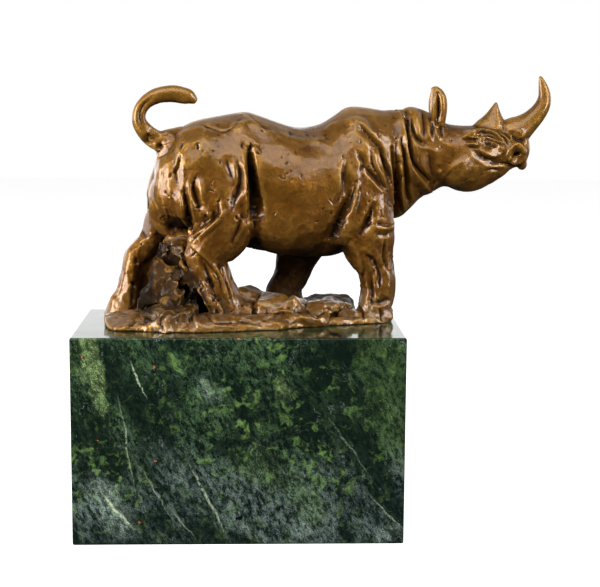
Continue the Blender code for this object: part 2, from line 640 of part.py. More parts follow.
def carve(thing, strokes):
    """Cuts and raises the strokes on the skin, each fading out towards its two ends.

    A groove throws up a low lip beside it, as a tool drawn through clay does. A ridge that leans has a slit at
    the foot of its steep side.
    """
    mesh = thing.data
    points, normals = points_of(mesh), normals_of(mesh)
    tree = BVHTree.FromPolygons([Vector(p) for p in points], [tuple(p.vertices) for p in mesh.polygons])
    moved = points.copy()
    for stroke in strokes:
        for side in (NEAR, FAR) if stroke.mirrored else (NEAR,):
            path = laid_on_skin(tree, stroke.path, side)
            reach = 4 * max(stroke.widths)
            close = np.all((points > path.min(0) - reach) & (points < path.max(0) + reach), axis=1)
            gap, along, to_left = gap_to_path(points[close], path)
            fade = np.sin(math.pi * np.clip(along, 0.03, 0.97)) ** 0.5
            width = stroke.widths[0] + (stroke.widths[1] - stroke.widths[0]) * along
            steep = to_left == (stroke.lean < 0)
            lean = abs(stroke.lean)
            amount = np.exp(-((gap / (width * np.where(steep, 1 - 0.65 * lean, 1 + 0.9 * lean))) ** 1.4))
            slope = (1 - lean) * amount + lean * np.clip(1 - gap / (2.4 * width), 0, 1)
            amount = np.where(steep, amount, slope)
            if stroke.depth < 0:
                lip = np.exp(-(((gap - (2.1 - 0.8 * lean) * width) / width) ** 2))
                amount -= 0.14 * lip * np.where(steep, 1, 1 - lean)
            elif lean > 0:
                amount -= 0.9 * lean * steep * np.exp(-(((gap - 1.15 * width) / (0.5 * width)) ** 2))
            moved[close] += normals[close] * (stroke.depth * amount * fade)[:, None]
    set_points(mesh, moved)


def patted(thing, rows, seed):
    """Presses the skin flat in places scattered over both sides, so that the clay shows facets."""
    mesh = thing.data
    points, normals = points_of(mesh), normals_of(mesh)
    tree = BVHTree.FromPolygons([Vector(p) for p in points], [tuple(p.vertices) for p in mesh.polygons])
    scatter = np.random.default_rng(seed)
    for x_from, x_to, z_from, z_to, step, radius in rows:
        for x in np.arange(x_from, x_to, step):
            for z in np.arange(z_from, z_to, step):
                for side in (NEAR, FAR):
                    shift = scatter.uniform(-0.5, 0.5, 2) * step
                    size = radius * scatter.uniform(0.75, 1.25)
                    start = Vector((x + shift[0], side * 150.0, z + shift[1]))
                    spot, out = tree.ray_cast(start, Vector((0, -side, 0)))[:2]
                    if spot is None or out.y * side < 0.45:
                        continue
                    gap = np.linalg.norm(points - spot, axis=1)
                    near = np.flatnonzero(gap < size)
                    near = near[normals[near] @ np.array(out) > 0.3]
                    facing = normals[near].mean(0)
                    facing /= np.linalg.norm(facing)
                    height = (points[near] - points[near].mean(0)) @ facing
                    share = np.clip((1 - gap[near] / size) / 0.3, 0, 1)
                    press = PAT_STRENGTH * height * share * share * (3 - 2 * share)
                    points[near] -= facing * press[:, None]
    set_points(mesh, points)


def bent_neck(points):
    """The points moved with the neck's bend: the middle line turns between the two places of NECK_BEND."""
    steps = np.arange(-120.0, 260.0, 0.25)
    t = np.clip((steps - NECK_BEND[0]) / (NECK_BEND[1] - NECK_BEND[0]), 0, 1)
    turns = HEAD_TURN * t * t * (3 - 2 * t)
    line_x = steps[0] + np.concatenate([[0.0], np.cumsum(np.cos(turns[:-1]) * 0.25)])
    line_y = np.concatenate([[0.0], np.cumsum(np.sin(turns[:-1]) * 0.25)])
    turn = np.interp(points[:, 0], steps, turns)
    return np.column_stack([
        np.interp(points[:, 0], steps, line_x) - points[:, 1] * np.sin(turn),
        np.interp(points[:, 0], steps, line_y) + points[:, 1] * np.cos(turn),
        points[:, 2],
    ])


def figure_masses():
    """The closed skins of the animal's body, neck, head and legs, and of the ground."""
    things = [body_loft("trunk", TRUNK), body_loft("neck and head", NECK_AND_HEAD)]
    things += [loft(f"{name} leg", rows) for name, rows in LEGS.items()]
    for middle, half_sizes, tilt in MASSES_ON_BOTH_SIDES:
        for side in (1, -1):
            things.append(mass("mass", (middle[0], middle[1] * side, middle[2]), half_sizes, tilt))
    things += [mass("mass", *row) for row in MASSES_ON_ONE_SIDE]
    return things


def ground_masses():
    """The closed skins of the ground's clods, and the mound of clay between the hind legs."""
    things = [rock("rock", *row) for row in ROCKS]
    things += [sheet("sheet", *row) for row in SHEETS]
    things += [mass("mound", *row) for row in MOUND]
    return things


def small_parts():
    """The tail, the two horns, the two ears and the toes."""
    things = [loft("tail", TAIL, 16), loft("front horn", FRONT_HORN, 16), loft("rear horn", REAR_HORN, 16)]
    things.append(loft("near ear", EAR, 14))
    things.append(loft("far ear", [(x + FAR_EAR_STEP, -y, z, a, b) for x, y, z, a, b in EAR], 14))
    things += [mass("toe", middle, half_sizes) for middle, half_sizes in TOES]
    return things


def cut_flat(thing):
    """Cuts the figure off flat at the height where it stands on the plinth."""
    bm = bmesh.new()
    bm.from_mesh(thing.data)
    everything = bm.verts[:] + bm.edges[:] + bm.faces[:]
    bmesh.ops.bisect_plane(bm, geom=everything, plane_co=(0, 0, 0), plane_no=(0, 0, -1), clear_outer=True)
    rim = [edge for edge in bm.edges if edge.is_boundary]
    bmesh.ops.edgeloop_fill(bm, edges=rim)
    bmesh.ops.triangulate(bm, faces=bm.faces[:])
    bmesh.ops.recalc_face_normals(bm, faces=bm.faces)
    bm.to_mesh(thing.data)
    bm.free()


def thinned(thing, name, triangles):
    """The same skin with no more than the given count of triangles."""
    bm = bmesh.new()
    bm.from_mesh(thing.data)
    bmesh.ops.triangulate(bm, faces=bm.faces[:])
    bm.to_mesh(thing.data)
    bm.free()
    thin = thing.modifiers.new("thin", "DECIMATE")
    thin.ratio = min(1.0, triangles / len(thing.data.polygons))
    return evaluated_copy(thing, name)


def material(name, colour, metallic, roughness):
    """A plain finish."""
    made = bpy.data.materials.new(name)
    made.use_nodes = True
    shader = made.node_tree.nodes["Principled BSDF"]
    shader.inputs["Base Color"].default_value = (*colour, 1)
    shader.inputs["Metallic"].default_value = metallic
    shader.inputs["Roughness"].default_value = roughness
    return made


def bronze_rhinoceros(collection):
    """The animal and the ground under it, one casting."""
    cell = UNITS_LONG / CELLS_LONG
    body = fused("body", figure_masses() + [ground_slab("ground")], cell, 5)
    whole = fused("whole", [body] + ground_masses() + small_parts(), cell, 2)
    keep_largest(whole)
    patted(whole, PATS, 7)
    carve(whole, STROKES)
    set_points(whole.data, bent_neck(points_of(whole.data)))
    figure = thinned(whole, "bronze_rhinoceros", FIGURE_TRIANGLES)
    cut_flat(figure)
    unit = FIGURE_LENGTH / UNITS_LONG
    place = (
        Matrix.Translation((0, FIGURE_SET_BACK, PLINTH_HEIGHT + SEAT_GAP))
        @ Matrix.Rotation(FIGURE_TURN, 4, "Z")
        @ Matrix.Scale(unit, 4)
    )
    figure.data.transform(place)
    figure.data.materials.clear()
    figure.data.materials.append(material("brown bronze", (0.26, 0.13, 0.04), 1.0, 0.32))
    figure.data.shade_smooth()
    bpy.context.scene.collection.objects.unlink(figure)
    collection.objects.link(figure)
    return figure


def marble_plinth(collection):
    """The block, with its edges just broken."""
    bm = bmesh.new()
    size = Matrix.Diagonal((PLINTH_LENGTH, PLINTH_DEPTH, PLINTH_HEIGHT, 1.0))
    bmesh.ops.create_cube(bm, size=1.0, matrix=Matrix.Translation((0, 0, PLINTH_HEIGHT / 2)) @ size)
    mesh = bpy.data.meshes.new("marble_plinth")
    bm.to_mesh(mesh)
    bm.free()
    block = bpy.data.objects.new("marble_plinth", mesh)
    collection.objects.link(block)
    edges = block.modifiers.new("broken edges", "BEVEL")
    edges.width = PLINTH_ARRIS
    edges.segments = 2
    block.data.materials.append(material("green marble", (0.05, 0.11, 0.07), 0.0, 0.12))
    return block


def main():
    for thing in list(bpy.data.objects):
        bpy.data.objects.remove(thing)
    collection = bpy.data.collections.new("bronze rhinoceros sculpture")
    bpy.context.scene.collection.children.link(collection)
    bronze_rhinoceros(collection)
    marble_plinth(collection)


main()
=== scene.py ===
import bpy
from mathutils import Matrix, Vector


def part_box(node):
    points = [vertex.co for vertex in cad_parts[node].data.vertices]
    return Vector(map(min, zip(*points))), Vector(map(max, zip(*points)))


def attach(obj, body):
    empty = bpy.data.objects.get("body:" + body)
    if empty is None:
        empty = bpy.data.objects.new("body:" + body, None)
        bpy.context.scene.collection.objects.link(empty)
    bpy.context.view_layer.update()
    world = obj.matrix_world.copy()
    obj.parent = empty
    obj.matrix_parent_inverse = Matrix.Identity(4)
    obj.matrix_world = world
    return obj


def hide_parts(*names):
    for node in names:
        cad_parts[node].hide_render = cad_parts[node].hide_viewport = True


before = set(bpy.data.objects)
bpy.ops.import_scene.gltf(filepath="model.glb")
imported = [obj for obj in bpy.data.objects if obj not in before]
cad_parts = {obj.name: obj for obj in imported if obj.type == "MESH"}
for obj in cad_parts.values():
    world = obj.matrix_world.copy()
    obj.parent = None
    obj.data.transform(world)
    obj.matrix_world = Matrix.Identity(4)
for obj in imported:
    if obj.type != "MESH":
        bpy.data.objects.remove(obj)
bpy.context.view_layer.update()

import math
import time
from collections import namedtuple
from contextlib import contextmanager

import bmesh
import bpy
import numpy as np
from mathutils import Matrix, Vector
from mathutils import noise as spaceNoise
from mathutils.bvhtree import BVHTree
from mathutils.kdtree import KDTree

began = time.perf_counter()


def report(stage):
    print(f"{time.perf_counter() - began:6.1f} s  {stage}")


report("frame loaded")

nearSide, farSide = -1, 1  # the animal's right side, which the camera sees, and its left side
outside = 150.0  # further to the side than any part of the animal reaches, in units

# what a user would change on the casting; places and sizes are in units, 257 to the figure's length
casting = {
    "cell": 0.47,
    "triangles": 195000,
    "turn": math.radians(10),
    "headTurn": math.radians(-9),
    "neckBend": (84.0, 116.0),
    "groundHeight": 3.2,
    "sheetThickness": 3.0,
    "sheetWave": 0.8,
    "farEarStep": 2.0,
    "skyReach": 26.0,  # how far off something still hides the sky
    "skyRays": 28,
    "patStrength": 0.85,
    "crumples": ((12.0, 2.0), (5.0, 0.8)),  # how broad the folds of the ground are, and how high
    "seeds": {"pats": 7, "finePats": 11, "nicks": 5, "sky": 3},
}

# The trunk from the rump to the chest: x, the back's height, the belly's height, half the width
trunk = [
    (-41, 103, 66, 13),
    (-34, 109.5, 60, 21),
    (-26, 113.5, 53, 25),
    (-14, 116, 46, 27),
    (2, 118.6, 42, 28),
    (10, 117, 40, 29),
    (20, 113.5, 38.5, 30.5),
    (33, 110, 36, 31),
    (45, 111.5, 35.5, 30),
    (54, 116.5, 36, 28),
    (62, 121.5, 39, 26),
    (72, 121.5, 44, 24),
    (82, 120, 52, 21),
    (90, 119, 60, 17),
]

# The neck and head along their middle: x, the top's height, the bottom's height, half the width
neckAndHead = [
    (76, 117, 62, 16),
    (86, 120, 57.5, 17.5),
    (93, 119.8, 57.5, 17.5),
    (99, 122, 62, 17.2),
    (106, 120.5, 69, 16.4),
    (113, 117, 72.5, 15.6),
    (120, 112.6, 75.8, 15),
    (127, 111.4, 73.4, 14.6),
    (134, 111.2, 72.4, 13.6),
    (141, 111.2, 74, 12.4),
    (148, 111.5, 78, 11),
    (154, 111.5, 82, 9.8),
    (159, 109, 86, 9),
    (164, 105, 88, 7.5),
]

# Each leg from the body down to its foot: x, y, z, half its depth fore and aft, half its width
legs = {
    "near fore": [
        (68, -13, 86, 16, 10),
        (70, -16, 66, 15, 11),
        (70.8, -16, 52, 15.6, 11),
        (72.4, -15.5, 41, 14.8, 10),
        (76.0, -15, 31, 10.8, 8.8),
        (78, -15, 22, 10.2, 8.6),
        (77.5, -15, 14, 9.8, 8.6),
        (75, -15, 7, 9.2, 9),
        (74.5, -15, 1, 9.8, 9.6),
    ],
    "far fore": [
        (58, 13, 80, 17, 11),
        (52, 15, 62, 16, 11),
        (42, 15.5, 46, 15, 10.5),
        (36.3, 15, 34, 12.5, 9.5),
        (33, 15, 23, 10.3, 8.5),
        (28, 15, 14, 9.6, 8.5),
        (26.5, 15, 7, 10, 9.5),
        (26, 15, 2, 10.4, 10),
    ],
    "near hind": [
        (-16, -14, 88, 20, 12),
        (-12, -17, 70, 18, 13),
        (-12, -17.5, 56, 17, 12.5),
        (-18.5, -17, 45, 15, 10),
        (-21.5, -16, 37, 11.5, 8.5),
        (-16.8, -15.5, 26, 9.8, 8),
        (-11.5, -15, 14, 9.2, 8),
        (-8.6, -15, 6, 9.6, 9),
        (-8, -15, 1, 10, 9.6),
    ],
    "far hind": [
        (-24, 13, 88, 17, 12),
        (-34, 16, 70, 16.5, 12.5),
        (-40, 16.5, 56, 13, 11),
        (-50, 16.5, 43.5, 7.4, 8.5),
        (-58, 15.5, 36, 6.4, 7.4),
        (-60.3, 15, 27, 6.2, 6.8),
        (-62.5, 15, 15, 7.4, 7.6),
        (-65.2, 15, 7, 9.4, 9),
        (-66, 15, 1, 10.4, 9.6),
    ],
}

# Rounded masses of muscle and bone: middle, half sizes, and tilt in the side view in degrees. The first are
# given for the near side and stand on both.
massesOnBothSides = [
    ((-24, -12, 88), (17, 13, 22), 0),
    ((0, -13, 102), (13, 10, 12), 20),
    ((26, -11, 62), (30, 20, 24), 0),
    ((66, -12, 92), (15, 12, 25), -8),
    ((126, -7, 88), (14, 8.5, 12), 10),
    ((134, -8, 104), (8, 5, 5), 0),
    ((160, -6, 95), (6.5, 4.2, 6.5), 20),
]
massesOnOneSide = [
    ((-12, -17, 68), (16, 13, 24), -10),
    ((-29, -13, 74), (13, 13, 19), 0),
    ((72, -16, 62), (13, 10.5, 20), 4),
    ((58, -17, 58), (8, 9, 15), 16),
    ((-34.5, 13, 73), (17, 12, 24), 8),
    ((50, 16, 60), (14, 10, 20), 30),
    ((79, 0, 67), (11, 15, 16), 0),
    ((89, 0, 71), (6.5, 12, 12), 0),
    ((144.5, -8.5, 98.5), (6, 4.6, 5), 20),
    ((144.5, 8.5, 98.5), (6, 4.6, 5), 20),
    ((149, 0, 85.5), (12, 8, 6), -30),
    ((165.4, 0, 98.5), (4.4, 6.5, 9), 0),
    ((165.4, 0, 89.4), (3.0, 5.5, 4.2), 0),
    ((-38.5, 3, 70), (13.5, 15, 18), 4),
    ((-37.5, -6, 78), (12.5, 13, 20), 2),
    ((-42, 17, 26), (18, 6, 30), 0),
    ((-26, 10, 44), (12, 11, 15), 0),
    ((-25, 11, 15), (13, 6, 18), 0),
    ((-41, 7, 58), (9.5, 11, 13), -35),
]

# The tail, horns and ears: x, y, z, and half the thickness in the side view and across
tail = [
    (-33, 0, 103.5, 7, 7),
    (-40, 0, 102.8, 6.2, 6),
    (-46.2, 0, 102.6, 5.4, 5),
    (-52.4, 0, 106.4, 5.0, 4.4),
    (-56.6, 0, 112.4, 4.2, 3.8),
    (-56.6, 0, 118.6, 3.8, 3.6),
    (-53.2, 0, 123.6, 3.9, 3.5),
    (-48.4, 0, 126.6, 4.3, 3.5),
    (-44, 0, 127.9, 4.5, 3.4),
    (-38, 0, 128.4, 4.8, 3.2),
    (-33, 0, 127.6, 4.7, 3.2),
    (-29, 0, 126.6, 4.2, 2.9),
    (-25.6, 0, 124.6, 2.2, 1.6),
]
frontHorn = [
    (158.5, 0, 105.5, 10.2, 7.6),
    (162.2, 0, 108.3, 9.0, 7.0),
    (165.8, 0, 110.9, 7.3, 6.2),
    (169.8, 0, 114.2, 6.0, 5.4),
    (173.6, 0, 118.3, 5.2, 4.8),
    (176.4, 0, 122.8, 4.6, 4.3),
    (177.5, 0, 127.5, 3.9, 3.6),
    (176.9, 0, 132.2, 3.1, 2.8),
    (175.6, 0, 136.5, 2.0, 1.8),
    (174.7, 0, 139.2, 1.0, 1.0),
]
rearHorn = [
    (146.5, 0, 106, 13.0, 7.0),
    (147.2, 0, 110.5, 10.5, 6.4),
    (147.8, 0, 114, 7.6, 5.0),
    (148.3, 0, 117.5, 4.7, 3.6),
    (148.8, 0, 121, 2.6, 2.2),
    (149.3, 0, 124, 1.0, 1.0),
]
ear = [
    (114.2, -7, 108, 5.0, 4.0),
    (114.4, -9, 114, 4.4, 3.4),
    (114.6, -10.4, 120, 4.8, 3.0),
    (114.4, -11, 126, 4.6, 2.8),
    (113.4, -10.8, 130, 3.4, 2.2),
    (112.2, -10.4, 132.6, 1.6, 1.2),
]

# The toes of three of the feet: middle and half sizes; the ground is a little higher under some feet.
# The far hind foot, which is hidden, has none.
toes = [
    ((82.5, -20, 3.4), (3.2, 3.4, 4.0)),
    ((84, -14, 3.6), (3.2, 3.6, 4.2)),
    ((81, -8, 3.4), (3.2, 3.4, 4.0)),
    ((0.2, -20.5, 6.6), (3.4, 3.4, 4.2)),
    ((2.2, -14.5, 6.8), (3.4, 3.6, 4.4)),
    ((-0.2, -8.5, 6.6), (3.4, 3.4, 4.2)),
    ((35, 9.5, 9), (3.4, 3.4, 4.4)),
    ((36.5, 15, 9.2), (3.4, 3.6, 4.6)),
    ((34.5, 20.5, 9), (3.4, 3.4, 4.4)),
]

# The ground's outline seen from above, and its height
groundOutline = [
    (-76, -6), (-73, -19), (-63, -29), (-45, -37), (-22, -41.5), (4, -39), (28, -34), (50, -30), (68, -27.5),
    (80, -25.5), (85.5, -17), (83.5, -3), (74, 8), (56, 20), (34, 30), (8, 34), (-22, 33), (-50, 33),
    (-70, 29), (-77, 12),
]

# Clods and rocks standing on the ground: middle, half sizes, turn seen from above in degrees, seed
rocks = [
    ((-62, -12, 1), (17, 17, 8), 12, 1),
    ((-60, 14, 1), (17, 17, 8), 0, 11),
    ((-41, -23, 2), (19, 15, 11), 20, 2),
    ((-20, -29, 1), (19, 12, 7), -8, 3),
    ((4, -28, 1), (20, 13, 6.5), 0, 13),
    ((30, -24, 1), (20, 12, 6), 4, 14),
    ((54, -19, 1), (19, 11, 6), 6, 16),
    ((-8, -14, 1), (15, 13, 6), 0, 17),
    ((4, -2, 6), (13, 14, 14), 15, 4),
    ((16, -12, 5), (15, 13, 12.5), -15, 18),
    ((33, -15, 5), (15, 13, 12), -8, 5),
    ((47, -12, 4), (16, 13, 9), 20, 6),
    ((52, 4, 4), (17, 13, 9), -15, 15),
    ((67, -3, 3), (12, 13, 9.5), 0, 7),
    ((24, 16, 2), (19, 14, 8), 0, 8),
    ((-8, 15, 4), (18, 14, 15), 25, 9),
    ((-36, 20, 2), (20, 13, 9), 5, 10),
    ((76, 0, 0), (10, 10, 5), 0, 12),
]

# The mound of clay that holds up the body between the hind legs. Its leaves lean on each other; each is
# given by its four corners, how far its middle bulges towards the near side, and the seed of its crumples.
sheets = [
    ([(-49, -8, 37), (-38, -13, 32), (-38, -18, 20), (-60, -7, 6)], 4.0, 1),
    ([(-46, -15, 20), (-36, -18, 22), (-35, -22, 6), (-52, -20, 5)], 2.5, 2),
    ([(-40, -8, 39), (-29, -12, 37), (-27, -17, 24), (-37, -13, 21)], 3.0, 3),
    ([(-32, -15, 25), (-28, -18, 24), (-26, -21, 6), (-33, -21, 6)], 1.0, 4),
    ([(-29, -17, 33), (-24, -19, 31), (-13, -24, 6), (-20, -23, 5)], 2.5, 5),
    ([(-46, -3, 46), (-28, -5, 48), (-24, -4, 4), (-56, -2, 4)], 0.0, 6),
    ([(-41, -5, 47), (-34, -10, 44), (-32, -10, 37), (-42, -6, 38)], 1.5, 7),
]
mound = [
    ((-36, 2, 18), (17, 10, 24), 0),
    ((-31, 1, 42), (12, 11, 12), -20),
]

# Pats of the modelling tool, which leave the clay in flat facets: the part of the side view that each row
# covers (x from, to, z from, to), how far apart they are, and how large
pats = [
    (-46, 90, 40, 112, 11, 8.0),
    (-64, 90, 10, 46, 9, 6.0),
    (96, 160, 78, 108, 10, 5.5),
]

# smaller pats between them
finePats = [
    (-46, 92, 38, 116, 6.5, 4.2),
    (-66, 92, 6, 44, 6, 3.8),
    (92, 162, 74, 112, 6.5, 3.2),
    (-50, 92, 36, 116, 4.0, 2.6),
    (-76, 92, 1, 42, 4.0, 2.6),
]

